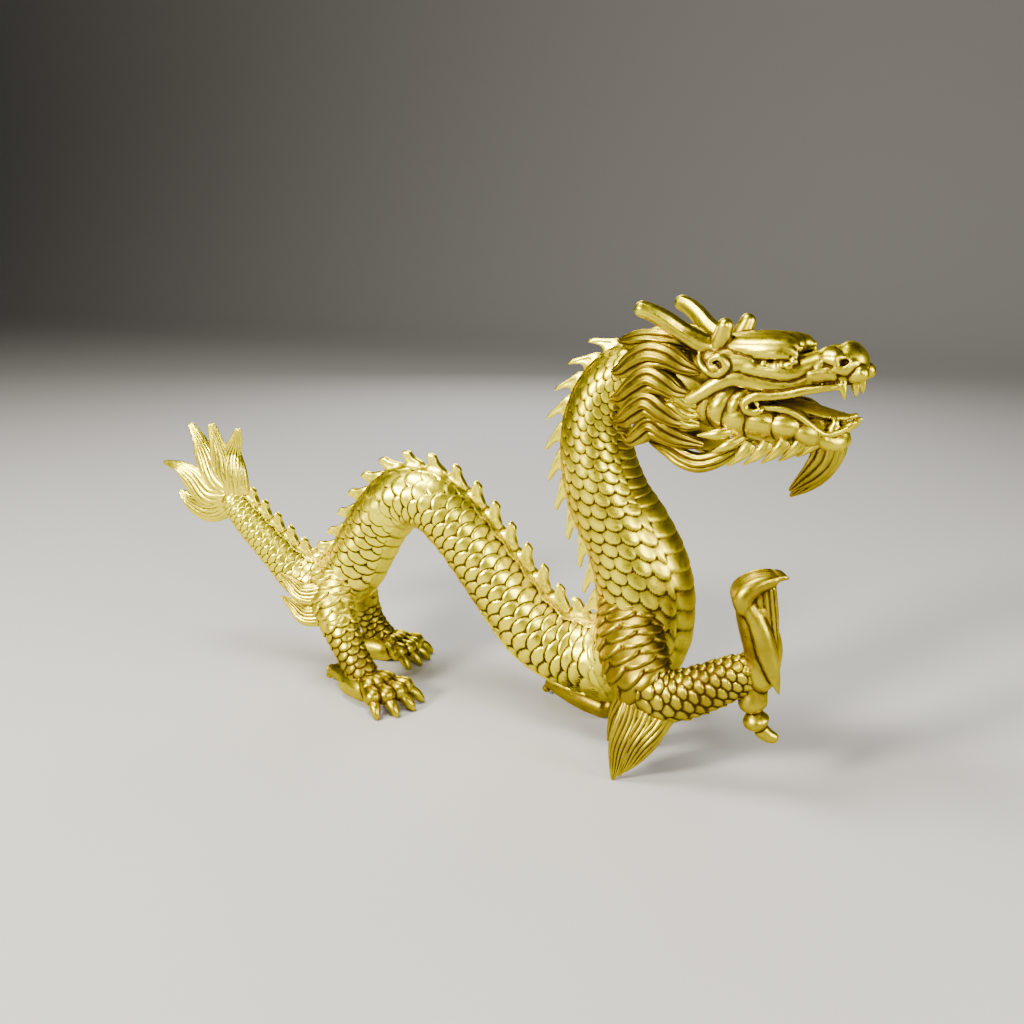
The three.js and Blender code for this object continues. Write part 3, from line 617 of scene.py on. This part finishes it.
def melted(voxel, soften, faces):
    """Lets a piece's closed forms melt into one skin, as wax does: the outside of all of them on a grid of
    voxels of so many mm, each vertex moved halfway to the mean of its neighbours soften times, and the
    whole thinned to a number of triangles."""
    def melt(piece):
        remesh = piece.modifiers.new("melt", "REMESH")
        remesh.mode, remesh.voxel_size = "VOXEL", voxel / 1000
        smooth = piece.modifiers.new("soften", "SMOOTH")
        smooth.factor, smooth.iterations = 0.5, soften
        whole = piece.evaluated_get(bpy.context.evaluated_depsgraph_get()).to_mesh()
        thin = piece.modifiers.new("thin", "DECIMATE")
        thin.ratio = min(1.0, faces / sum(len(f.vertices) - 2 for f in whole.polygons))
        skin = bpy.data.meshes.new_from_object(piece.evaluated_get(bpy.context.evaluated_depsgraph_get()))
        piece.modifiers.clear()
        piece.data = skin
        skin.name = piece.name
        return skin
    return melt


def wrinkles(count, depth, first, last):
    """Folds round a joint: depth * cos(2 pi count share), only between two shares of its length."""
    def skin(share, turn):
        inside = np.clip((share - first) * 20, 0, 1) * np.clip((last - share) * 20, 0, 1)
        return depth * inside * np.cos(2 * np.pi * count * share) * np.clip(np.sin(turn) + 0.6, 0, 1), 0.0
    return skin


# Along a toe and its claw: share of its reach, height, half width, half height.
TOE = [(0.1, 7, 4.4, 4.6), (0.34, 9.6, 4.3, 4.8), (0.5, 8.2, 3.7, 4.1), (0.68, 7.4, 4.1, 4.6),
       (0.8, 5.6, 3.6, 4.0)]
CLAW = [(0.7, 6.4, 2.6, 2.8), (0.86, 4.6, 2.3, 2.5), (0.95, 2.2, 1.6, 1.7), (0.98, 0.6, 0.8, 0.8)]


def paw(place, spread=(-31, -11, 9, 29), reach=(24, 26, 27, 27)):
    """Ankle over the origin, toes towards +x at their spread in degrees and reach, sole at z = 0."""
    parts = [tube([(-14, 0, 4.6, 6.5, 4.6), (-6, 0, 6.5, 8.4, 6.6), (3, 0, 7.2, 9.4, 7),
                   (11, 0, 6, 8.4, 5.6)],
                  32, 24, place)]
    for degrees, out in zip(spread, reach):
        c, s = out * np.cos(np.radians(degrees)), out * np.sin(np.radians(degrees))
        toe, claw = ([(k * c, k * s, *rest) for k, *rest in stations] for stations in (TOE, CLAW))
        parts.append(tube(toe, 32, 60, place, skin=wrinkles(13, 0.14, 0.4, 0.7), blunt=0.9))
        parts.append(tube(claw, 24, 30, place))
    parts.append(tube([(-8, 0, 6.5, 5.4), (-15, 0.5, 7.2, 4.4), (-20.4, 1, 7, 3.5), (-23.4, 1.2, 6.6, 3.3)],
                      28, 40, place, skin=wrinkles(11, 0.2, 0.3, 0.8)))
    parts.append(tube([(-23.4, 1.3, 6.4, 3.4), (-26.6, 1.4, 6.2, 3.2)], 28, 16, place, blunt=1))
    parts.append(tube([(-24.4, 1.3, 4.6, 2.2), (-27.6, 1.4, 2.4, 1.7)], 20, 16, place, blunt=1))
    return gathered(parts)


PAW_VOXEL, PAW_SOFTEN = 0.42, 2
cast("paw_hind_right", paw(turned(-63, -19.5, -0.5, -15)), gold, 0.12, melted(PAW_VOXEL, PAW_SOFTEN, 32000))
cast("paw_hind_left", paw(turned(-80, 21, -0.5, 6), (-28, -9, 10, 29), (22, 23, 24, 25)), gold, 0.25,
     melted(PAW_VOXEL, PAW_SOFTEN, 26000))
cast("paw_fore_left", gathered([
    paw(turned(35, 18, -0.5, 4), (-30, -10, 10, 30), (24, 26, 26, 25)),
    tube([(9, 19, 6.6, 2.8, 3.2), (19, 15, 5.8, 4.4, 4.4), (31, 10.4, 5.4, 5.4, 5.2), (44, 6.4, 5, 5.2, 4.8)],
         32, 40),    # its long sloping heel
]), gold, 0.9, melted(PAW_VOXEL, PAW_SOFTEN, 24000))

# ---- Raised paw
# The right fore paw stands upright on the wrist with its palm to the front. The middle toes hook forwards
# over the top, the outer ones lie down the palm, and the rear toe hangs below in two round joints.
RAISED = turned(106, -25, 0, 16)
TILT = 0.2          # fall of the knuckles towards the paw's left, mm a mm
OUTER_TOE = 7.2     # way of the outer toes from the middle
parts = []


def form(stations, sides, rings, **options):
    """Adds a roll through stations (x, y, z, half width, half height) to the forms of the raised paw."""
    parts.append(tube(stations, sides, rings, RAISED, **options))


# Palm, and the roof of the knuckles.
form([(5, 0, 41, 7.4, 4.6), (5, 0, 50, 9.4, 6.4), (4.9, 0, 58, 10, 7.0), (2.8, 0, 65, 10.4, 6.9),
      (1.6, 0, 72, 10.8, 7.2), (0.8, 0, 78, 11, 6.0), (1.4, 0, 82.6, 9.4, 4.2)], 48, 60)
form([(-3.4, 0, 77.6, 9.4, 4.8), (0.2, 0, 81.6, 9.8, 4.2), (4.6, 0, 84.0, 9.2, 3.0), (8.4, 0, 85.0, 8, 2.0)],
     48, 40, across=(0, 1, -TILT))
for y in (-OUTER_TOE, -2.4, 2.4, OUTER_TOE):
    h = TILT * y
    form([(-1, y, 73, 3.8), (-3.2, y, 77.6 - h, 4.3), (0.2, y, 81.8 - h, 3.7), (4.6, y, 84.2 - h, 2.6),
          (8.0, y * 0.9, 85.0 - h, 1.9)], 28, 50)
    form([(7, y * 0.94, 85.2 - h, 1.6), (9.6, y * 0.9, 85.6 - h, 1.2), (11.6, y * 0.88, 85.0 - h, 0.4)],
         20, 30, blunt=0.5)
    if abs(y) == OUTER_TOE:
        side = np.sign(y)
        form([(-2.4, 7.8 * side, 77.0, 3.4), (0.4, 8.8 * side, 73, 3.2), (3.0, 9.2 * side, 67.4, 3.5),
              (5.4, 9.2 * side, 60.3, 3.6), (8, 9.0 * side, 52.4, 2.7), (10.9, 8.6 * side, 43.6, 0.3)],
             28, 60, blunt=0.5)
        form([(-3.8, 6.6 * side, 78.4, 4.0), (-4.2, 6.6 * side, 76.4, 4.0)], 28, 20, blunt=1)
# Folds of the bent toes.
for x, half in ((1.6, 9.0), (3.6, 8.2), (5.4, 6.6), (6.6, 4.4), (7, 1.6)):
    for y in (-half, half):
        form([(x - 0.6, y * 0.96, 83, 1.5), (x + 0.2, y, 78, 1.4), (x + 1.2, y, 72, 1.3),
              (x * 0.8 + 3.4, y, 65, 1.1), (x * 0.6 + 6, y * 0.96, 58, 0.6)], 16, 40, blunt=0.5)
# Rear toe in its two joints, and its claw.
form([(3.6, 0, 47, 6, 5), (3.4, 0, 41, 5, 4.6), (2.8, 0, 36, 5.6, 5.4), (3.6, 0, 32, 4.6, 4.4)], 32, 40,
     blunt=0.7)
form([(3.4, 0, 33, 4, 3.8), (4.4, 0, 29, 5.2, 5.0), (6.2, 0, 25, 4.4, 4.2)], 32, 30, blunt=0.9)
form([(5, 0, 26.4, 3.4), (9.4, 0, 22.8, 2.6), (13, 0, 22, 2.0)], 24, 24, blunt=0.9)
cast("paw_raised", gathered(parts), gold, 0.08, melted(0.4, PAW_SOFTEN, 40000))

# ---- Head
# The head is the richest part of the wax: skull, jaws, lips, brows, eyes, cheeks, ears, teeth and tongue are
# modelled as low forms, rolls and balls that melt together, and cast with the neck. It looks a little to
# its right. Stations are f forwards, l to its left and u up from the middle of the skull.
HEAD = turned(80, -6, 150, -8)


def both(stations, sides=24, rings=24, **options):
    """A roll of the head through stations (f, l, u, ...) and its twin at -l, across the nose."""
    twin = [(f, -l, *rest) for f, l, *rest in stations]
    return [tube(stations, sides, rings, HEAD, **options), tube(twin, sides, rings, HEAD, **options)]


def raised(f, u, forms):
    """Height of low forms at the points (f, u) of the head's side. Each form follows a smooth line through
    its stations (f, u, half width, height) and rises as height * root(1 - (distance / half width)^2); where
    forms meet, the higher one shows."""
    top = np.zeros(np.broadcast(f, u).shape)
    for stations in forms:
        at, _ = line([(a, 0, b, w, h) for a, b, w, h in stations])
        c, _, _, _, wide, tall = at(np.linspace(0, 1, 16))
        for (a, _, b), (run, _, climb), w, dw, h, dh in zip(c, np.diff(c, axis=0), wide, np.diff(wide), tall,
                                                            np.diff(tall)):
            share = np.clip(((f - a) * run + (u - b) * climb) / (run * run + climb * climb), 0, 1)
            far = np.hypot(f - a - share * run, u - b - share * climb) / (w + share * dw)
            top = np.maximum(top, (h + share * dh) * np.sqrt(np.clip(1 - far**2, 0, 1)))
    return top


def modelled(stations, sides, rings, forms, dents=()):
    """A tube along the head whose flanks stand out by the raised forms less the dents, times 2.2 * |cos turn|
    up to 1, so that both fade out on the crown and below."""
    at, _ = line(stations)

    def skin(share, turn):
        c, _, _, _, _, tall = at(np.ravel(share))
        f, u = c[:, :1] + 0 * turn, c[:, 2:] + tall[:, None] * np.sin(turn)
        fade = np.clip(np.abs(np.cos(turn)) * 2.2, 0, 1)
        return (raised(f, u, forms) - raised(f, u, dents)) * fade, 0.0

    return tube(stations, sides, rings, HEAD, skin=skin)


# Skull with muzzle, and lower jaw: f, l, u, half width, half height.
MUZZLE = [(-8, 0, 4, 10, 10), (6, 0, 6, 13.4, 9.5), (18, 0, 7.6, 13.2, 9), (27, 0, 7.8, 12, 8),
          (33.5, 0, 6.2, 11, 5.8), (40, 0, 7.2, 9.4, 5.8), (46, 0, 9, 8.2, 6.2), (52, 0, 10.2, 7.4, 6.6),
          (57.5, 0, 10.2, 5.6, 5)]
# Low forms of the muzzle, as stations (f, u, half width, height): the snarl under the eye, the cheekbone, the
# rims and wings of the nostril, the folds beside it, and the upper lip.
MUZZLE_FORMS = [
    [(16, 8.6, 2.6, 0.8), (22, 7.0, 3.0, 1.3), (30, 6.3, 3.2, 1.6), (36, 7.8, 3.0, 1.5), (40, 10.4, 2.6, 1.2),
     (44, 13.2, 2.2, 0.8)],
    [(8, 8.6, 4.4, 1.2), (14, 9.4, 4.8, 1.5), (20, 10, 3.6, 1.0)],
    [(46.4, 13, 2.6, 1.6), (48.6, 12.2, 2.6, 1.8)], [(49, 8.6, 1.6, 1.2), (52, 8.6, 1.6, 1.3),
                                                     (54.4, 10.6, 1.5, 1.0)],
    [(42.0, 5.4, 2.8, 1.5), (46.2, 6.4, 2.8, 1.7)], [(49.6, 5.0, 1.6, 1.5), (51.2, 5.2, 1.5, 1.5)],
    [(23, -3, 1.2, 1.2), (27.8, -1.3, 1.4, 1.8), (34.1, -0.2, 1.5, 2.0), (40.2, 1.5, 1.5, 2.0),
     (46, 2.6, 1.5, 2.0), (53, 3.6, 1.3, 1.4)],
]
# The eye's socket and the nostril are dents.
SOCKETS = [[(24.5, 10.2, 2.2, 0.8), (29, 10.8, 2.8, 1.2), (33, 11.4, 2.0, 0.8)],
           [(51, 11, 1.2, 2.2), (51.6, 11.2, 1.1, 2.0)]]
JAW = [(-4, 0, -6.4, 11, 7), (4, 0, -7, 13, 9), (11, 0, -7.6, 13.8, 9.4), (20, 0, -8.6, 13.6, 9),
       (28, 0, -10.8, 12.4, 6.2), (36, 0, -11.8, 10.8, 4.9), (43, 0, -14.2, 9, 4.6), (49, 0, -15.4, 6.8, 4),
       (53, 0, -13.4, 4, 3)]
# Crescents of the cheek behind the mouth, and the row of lobes along the jaw.
JAW_FORMS = [
    [(6.0, -12.6, 3.0, 1.0), (4.6, -7.4, 3.8, 2.2), (7.2, -2.2, 3.8, 2.6), (13.4, 1.2, 3.0, 1.6)],
    [(11.6, -13.0, 3.2, 1.4), (10.4, -7.8, 3.6, 2.8), (12.8, -2.8, 3.4, 3.0), (18.4, -0.2, 2.6, 2.0)],
    [(16.6, -7.6, 2.6, 2.2), (17.4, -3.8, 2.8, 3.0), (21.6, -1.0, 2.2, 1.8)],
    [(17.8, -11.2, 5.6, 2.7), (18.2, -15.6, 5.6, 2.3)], [(26.4, -10.8, 5.6, 2.9), (26.4, -15.4, 5.6, 2.4)],
    [(34.6, -11.0, 5.5, 2.8), (35.0, -15.6, 5.4, 2.3)], [(41.8, -13.4, 5.0, 2.5), (42.6, -17.6, 4.9, 2.5)],
    [(48.2, -16.4, 4.2, 2.1), (48.8, -19.4, 4.0, 1.8)],
]
head = [
    modelled(MUZZLE, 180, 240, MUZZLE_FORMS, SOCKETS), modelled(JAW, 180, 200, JAW_FORMS),
    # Tongue, and the ball of the nose.
    tube([(24, 0, -5.4, 7.5, 2.8), (36, 0, -6.2, 7.2, 2), (46, 0, -7.7, 5.6, 1.5), (52, 0, -8.2, 3.4, 1.1),
          (55.6, 0, -7, 1.3, 0.8)], 32, 40, HEAD),
    tube([(46.5, 0, 12.4, 5.6, 3.6), (51.4, 0, 13.2, 5.4, 4.4), (55.4, 0, 12.8, 4.6, 4)], 32, 24, HEAD,
         blunt=1),
    # Eyes.
    *both([(28.4, 9.2, 10.6, 3.3), (30.6, 9.4, 10.8, 3.3)], blunt=1),
    # Brow: its hood, the fill towards the crown, its ruffled edge and its end.
    *both([(6, 5, 12, 5, 3.6), (14, 6.4, 13.4, 6, 4.4), (21, 7, 14.0, 6.4, 4.3), (28, 7.2, 14.6, 6, 4.0),
           (33, 7.4, 14.8, 4.8, 3.2), (36.4, 7.6, 14, 3, 2.4)], 40, 60),
    *both([(6, 3, 12.6, 5, 4.2), (20, 3.6, 14.2, 5.8, 4.7), (29, 3.8, 14.6, 5.4, 4.1),
           (35, 4.6, 13.8, 3.4, 2.6)], 40, 50),
    *both([(15, 10.4, 11.6, 1.4, 1.4), (19, 11.4, 13, 1.8, 1.8), (24, 11.8, 13.4, 1.9, 2),
           (29, 11.4, 14.2, 1.9, 2), (33, 10.6, 14.2, 1.8, 1.9), (35.4, 10.2, 12.8, 1.5, 1.5),
           (34.8, 10.4, 11.2, 1.1, 1.1)], 28, 60),
    *both([(35.6, 7.4, 15.4, 1.7), (36.8, 7.8, 13.6, 1.6)], blunt=1),
    # Upper lid.
    *both([(18, 11, 11.2, 1.2), (24, 11.7, 12.2, 1.7), (30, 11.6, 12.8, 1.8), (34.4, 10.6, 12.2, 1.2)], 28,
          40),
    # Crown.
    tube([(4, 0, 11.8, 8, 4.8), (16, 0, 13.4, 8.4, 5), (26, 0, 14, 8, 4.6), (32, 0, 13, 6.8, 3.6)], 40, 40,
         HEAD),
    # Upper lip, curled at its corner round a ball.
    *both([(52.4, 6, 3.2, 0.9, 1.1), (46, 8.6, 2.1, 1.1, 1.2), (40, 10.2, 0.9, 1.1, 1.3),
           (34, 11.8, -0.8, 1.1, 1.3), (28.4, 13.2, -1.6, 1.2, 1.4), (23.9, 14.2, -2.0, 1.4, 1.5),
           (20.8, 14.7, -4.2, 1.5, 1.5), (21.6, 14.7, -6.6, 1.5, 1.4), (24.8, 14.4, -7.2, 1.4, 1.2),
           (27, 13.9, -5.8, 1.1, 1)], 20, 130, blunt=0.5),
    *both([(24.6, 13.6, -4.4, 2.1), (25.4, 13.9, -4.2, 2.2)], blunt=1),
    # Ridge that rises from the mane along the cheek to the nose.
    *both([(-5, 13.2, -8.6, 1.0, 1.4), (-1, 14.4, -6, 1.6, 2.1), (4, 14.6, -3, 1.8, 2.4),
           (9.5, 14.0, 0.9, 1.8, 2.7), (14.9, 13.2, 3.5, 1.7, 2.8), (20.1, 12.4, 3.1, 1.6, 2.8),
           (26.6, 11.3, 2, 1.5, 2.7), (32.9, 10.2, 1.8, 1.5, 2.6), (37.6, 9.2, 3, 1.5, 2.4),
           (40.8, 8.4, 5.6, 1.4, 2.2), (43.2, 8, 8.8, 1.3, 1.8), (45, 6.8, 12, 0.9, 0.9)],
          24, 120, blunt=0.5),
    # Lower lip.
    *both([(26, 13.2, -5.6, 0.9, 1), (34.4, 12, -5.8, 1, 1.1), (38.9, 10.9, -7.7, 1, 1.1),
           (43.4, 9.6, -11, 1, 1.1), (47, 8.2, -13.4, 1.1, 1.2), (50.6, 6.2, -12.6, 1.2, 1.2),
           (54, 3.2, -10.4, 1.1, 1.1)], 20, 90, blunt=0.5),
    # Ears, each with a curl round it.
    *both([(6.6, 12, 8.6, 2.4, 3.2), (11.6, 12.4, 8.2, 2.4, 3.4)], blunt=1),
    *both([(2.6, 12.4, 12.4, 0.6), (3.4, 13.8, 8.6, 1.2), (6.6, 14.6, 5.6, 1.4), (11, 15, 5.1, 1.4),
           (13.6, 15.2, 8.1, 1.4), (11.2, 15.6, 10.9, 1.3), (8.0, 15.7, 9.4, 1.2), (8.6, 16, 7, 1.1),
           (11, 16.2, 7.6, 1.2)], 20, 80, blunt=0.5),
    # Stubs of the whiskers.
    *both([(49.8, 4, 5.4, 2.3), (54.6, 4.2, 6.6, 2.6), (58.4, 4.6, 8.8, 3.0)], blunt=0.9),
    # Fangs, two a side above and two below.
    *(tooth for fang in (
        [(50.8, 6.4, 4.4, 1.5), (51.6, 6.4, 1, 1.2), (52.2, 6.2, -1.6, 0.3)],
        [(54.6, 4, 5, 1.5), (55, 4, 1.8, 1.2), (55.2, 4, -0.8, 0.3)],
        [(48.6, 5.6, -12.6, 1.9), (49.6, 5.6, -9.6, 1.4), (48.4, 5.4, -7.4, 0.5)],
        [(52.6, 3.4, -12, 1.8), (54.6, 3.4, -9.8, 1.3), (56.2, 3.2, -8.6, 0.5)],
    ) for tooth in both(fang, blunt=0.3)),
    # Horns, faintly fluted.
    *both([(15, 8.4, 7.6, 3.4), (9, 8.8, 11.6, 4.2), (2, 9.8, 14.3, 4), (-4.4, 11.6, 18, 3.6),
           (-9.4, 14, 21.8, 3.4), (-14.4, 16, 24.7, 3.1), (-20.4, 17.8, 26.5, 2.85)], 36, 90, blunt=0.9,
          skin=lambda share, turn: (0.14 * np.cos(9 * turn + 2 * share), 0.0)),
    # Temples, and the short prongs over them.
    *both([(2, 8.4, 8, 5, 5.6), (9, 9, 9.4, 5.4, 5.4), (16, 8.8, 10.4, 4.6, 4.4), (22, 8, 11, 3.4, 3.4)], 40,
          40),
    *both([(7.6, 8.4, 9, 5.2), (8.8, 9.6, 14.6, 3.9), (10.4, 10.6, 19.4, 3.1), (11.8, 11.4, 23.6, 2.5)], 28,
          40, blunt=0.9),
]
# Ruffled lids: pairs of balls under the eye.
for f, u, size in ((25.4, 9.2, 1.6), (27.4, 8.6, 1.8), (29.6, 9.0, 1.9), (31.8, 9.4, 1.9), (33.8, 9.2, 1.8),
                   (35.4, 10.6, 1.6)):
    head += both([(f, 10.8, u - 1, size), (f + 0.5, 11.6, u + 1.2, size)], 16, 12, blunt=1)
cast("head", gathered(head), gold, 0.3, melted(0.42, 4, 158000))
fringe = []
for share in np.linspace(0, 1, 5):    # locks under the jaw
    f, u, l = 41 - 23 * share, -20.8 - 5.2 * share**0.7, 7.8 + 5 * share
    lock = [(f + 4.8, l - 1.4, u + 7.4, 2, 2.6), (f + 3.6, l + 0.2, u + 4.8, 1.6, 2.2),
            (f + 1, l + 0.8, u + 1.8, 1.1, 1.4), (f - 3, l + 0.6, u - 1.4, 0.25, 0.3)]
    fringe += both(lock, 28, 30, skin=strands(3, 0.4), blunt=0.3)
fringe += both([(17, 11, -14.5, 1.6, 1.4), (11.6, 14, -16.2, 1.8, 2.1), (4, 15, -17.4, 0.3, 0.3)], blunt=0.3)
fringe += both([(20, 10, -17, 1.6, 1.4), (15, 13, -20, 1.6, 2), (9.6, 14, -23, 0.3, 0.3)], blunt=0.3)
for u, f in ((-5.4, 1.6), (-9.4, 1), (-13, 1)):    # hair by the cheek
    lock = [(f + 3, 11.6, u - 1.4, 1.2, 1.2), (f - 2, 14, u - 0.8, 2, 2.9),
            (f - 7.4, 14.8, u + 1.6, 1.8, 2.7), (f - 13, 14.2, u + 0.2, 0.3, 0.3)]
    fringe += both(lock, 36, 40, skin=strands(4, 0.9), blunt=0.3)
cast("head_fringe", gathered(fringe), gold, 0.3)

# ---- Mane and beard
# Long wavy locks comb back from the cheeks over a solid mass of hair, and a grooved plume hangs from the
# chin. All are cast with the head, their strands cut into the wax, and full of brown between.
LOCKS = [  # f, l, u, half width, half height from root to tip
    [(-1, 8, 13, 2, 2), (-8, 9.6, 15, 3, 3.2), (-16, 10, 14.8, 3.2, 3.6), (-24, 9, 13.6, 3, 3.2),
     (-32, 7, 13, 0.6, 0.6)],
    [(3.4, 12, 4.4, 1, 1), (-2, 14, 6.4, 3, 2.8), (-8, 15, 9.3, 3.6, 4.2), (-15, 15, 9.4, 3.6, 4.8),
     (-22, 14, 6, 3.2, 4.4), (-28, 12.6, 2.6, 2, 2.6), (-33, 11, 2, 0.6, 0.6)],
    [(1, 12.6, -4, 1, 1), (-4, 15, -2.8, 3, 2.8), (-9, 16, 0, 3.6, 4), (-14.5, 16, 1.2, 3.6, 4.6),
     (-20.5, 15, -2.6, 3.2, 4.3), (-27, 13, -7, 2.2, 2.8), (-33, 11, -8.4, 0.6, 0.6)],
    [(2, 12.6, -14.6, 1, 1), (-4, 15, -12.6, 3, 2.8), (-9, 16, -10, 3.6, 4), (-15, 16, -7.8, 3.6, 4.5),
     (-20.5, 15, -11, 3.2, 4.3), (-26, 13, -14.8, 2.2, 2.8), (-31, 11, -16.4, 0.6, 0.6)],
    [(6, 11.6, -21.6, 1, 1), (-2, 13.6, -19.8, 3, 2.8), (-8, 15, -17.8, 3.4, 3.6), (-13.5, 15, -16, 3.4, 4),
     (-18.5, 14, -19.6, 3, 3.6), (-23, 12.6, -22.4, 2.2, 2.2), (-27.5, 11, -20.6, 0.6, 0.6)],
    [(18, 9.4, -21.6, 1.4, 1.4), (11.3, 11.4, -25.4, 3, 2.8), (4.2, 12, -27.8, 3.4, 3.2),
     (-2, 12, -26.9, 3.2, 3.2), (-8, 11, -24.6, 2.6, 2.6), (-17, 9, -22.8, 0.6, 0.6)],
]
mane = [tube([(10, 0, -8, 8, 12), (5, 0, -9, 10, 16), (0, 0, -8, 12, 18), (-8, 0, -5, 13, 18),
              (-18, 0, -3, 12, 15), (-26, 0, -1, 10, 12)], 64, 40, HEAD, blunt=0.4)]
for lock in LOCKS:
    mane += both(lock, 66, 62, skin=strands(6, 1.7, 0.25), blunt=0.3)
for i in (-1, 0, 1):    # the plume under the chin
    drop = 2.4 * abs(i)
    lock = [(47.4 - drop / 4, 3.2 * i, -13.4, 4.4, 4.6), (47.2 - drop / 4, 3.8 * i, -21, 4.0, 4.8),
            (44.2 - drop / 2, 3 * i, -28, 3.0, 3.9), (40 - drop / 2, 2 * i, -33.4 + drop / 2, 1.9, 2.5),
            (34.3, 1.2 * i, -38.6 + drop, 0.5, 0.5)]
    mane.append(tube(lock, 60, 50, HEAD, skin=strands(9, 0.9), blunt=0.3))
cast("mane_and_beard", gathered(mane), gold, 0.05)

# ---- Floor, light and camera
# A pale paper sweep, one large soft light high on the dragon's tail side, weaker ones before its head,
# one above, and one behind that draws the edge of the back.
TARGET = origin + np.array([0.0, 0.0, 0.089])    # what camera and lamps look at, half way up the dragon
azimuth, elevation, distance = np.radians(25.0), np.radians(16.0), 0.426
back = np.array([np.sin(azimuth) * np.cos(elevation), -np.cos(azimuth) * np.cos(elevation),
                 np.sin(elevation)])
camera = bpy.data.objects.new("camera", bpy.data.cameras.new("camera"))
camera.data.lens = camera.data.sensor_width = 36.0
camera.data.clip_start, camera.data.clip_end = 0.01, 20.0
camera.location = TARGET + back * distance
camera.rotation_mode = "QUATERNION"
camera.rotation_quaternion = Vector(-back).to_track_quat("-Z", "Y")
scene.collection.objects.link(camera)
scene.camera = camera

# The paper lies flat, then bends up in a quarter circle behind the dragon, y = FLAT_TO + CURVE * sin(bend)
# and z = CURVE * (1 - cos(bend)), and then runs straight up.
FLAT_FROM, FLAT_TO, CURVE, WALL, HALF_WIDTH = -2.2, 1.2, 0.9, 2.0, 4.0
run = np.linspace(0, 1, 40)
bend = way(run, 0.55, 0.8) * np.pi / 2
sweep_y = np.where(run < 0.55, FLAT_FROM + run / 0.55 * (FLAT_TO - FLAT_FROM), FLAT_TO + CURVE * np.sin(bend))
sweep_z = np.where(run < 0.8, CURVE * (1 - np.cos(bend)), CURVE + (run - 0.8) / 0.2 * WALL)
x = np.array([-HALF_WIDTH, HALF_WIDTH])
grid = np.stack(np.broadcast_arrays(x[None], sweep_y[:, None], sweep_z[:, None]), -1).reshape(-1, 3)
cell = np.arange(39)[:, None] * 2 + np.array([0, 1, 3, 2])
paper_mesh = bpy.data.meshes.new("paper_sweep")
paper_mesh.from_pydata(grid.tolist(), [], cell.tolist())
paper_mesh.polygons.foreach_set("use_smooth", np.ones(39, bool))
paper = bpy.data.objects.new("paper_sweep", paper_mesh)
scene.collection.objects.link(paper)
paper_finish = bpy.data.materials.new("pale_paper")
paper_finish.use_nodes = True
paper_finish.node_tree.nodes["Principled BSDF"].inputs["Base Color"].default_value = (0.36, 0.355, 0.345, 1)
paper_finish.node_tree.nodes["Principled BSDF"].inputs["Roughness"].default_value = 0.9
paper_mesh.materials.append(paper_finish)

for label, place, size, power, warmth in (
        ("key_light", (-0.46, -0.78, 0.52), 0.20, 31.0, (1.0, 0.94, 0.82)),
        ("fill_light", (0.60, -0.60, 0.45), 0.22, 6.0, (1.0, 0.96, 0.90)),
        ("side_light", (0.72, -0.08, 0.28), 0.28, 6.0, (1.0, 0.95, 0.86)),
        ("top_light", (-0.20, -0.12, 0.80), 0.26, 11.0, (1.0, 0.97, 0.92)),
        ("edge_light", (-0.30, 0.75, 0.45), 0.3, 4.0, (1.0, 0.98, 0.96))):
    lamp = bpy.data.objects.new(label, bpy.data.lights.new(label, "AREA"))
    lamp.data.size, lamp.data.energy, lamp.data.color = size, power, warmth
    lamp.location = place
    lamp.rotation_mode = "QUATERNION"
    lamp.rotation_quaternion = (Vector(TARGET) - Vector(place)).to_track_quat("-Z", "Y")
    scene.collection.objects.link(lamp)
world = bpy.data.worlds.new("studio")
world.use_nodes = True
world.node_tree.nodes["Background"].inputs["Color"].default_value = (0.9, 0.93, 1.0, 1)
world.node_tree.nodes["Background"].inputs["Strength"].default_value = 0.015
scene.world = world
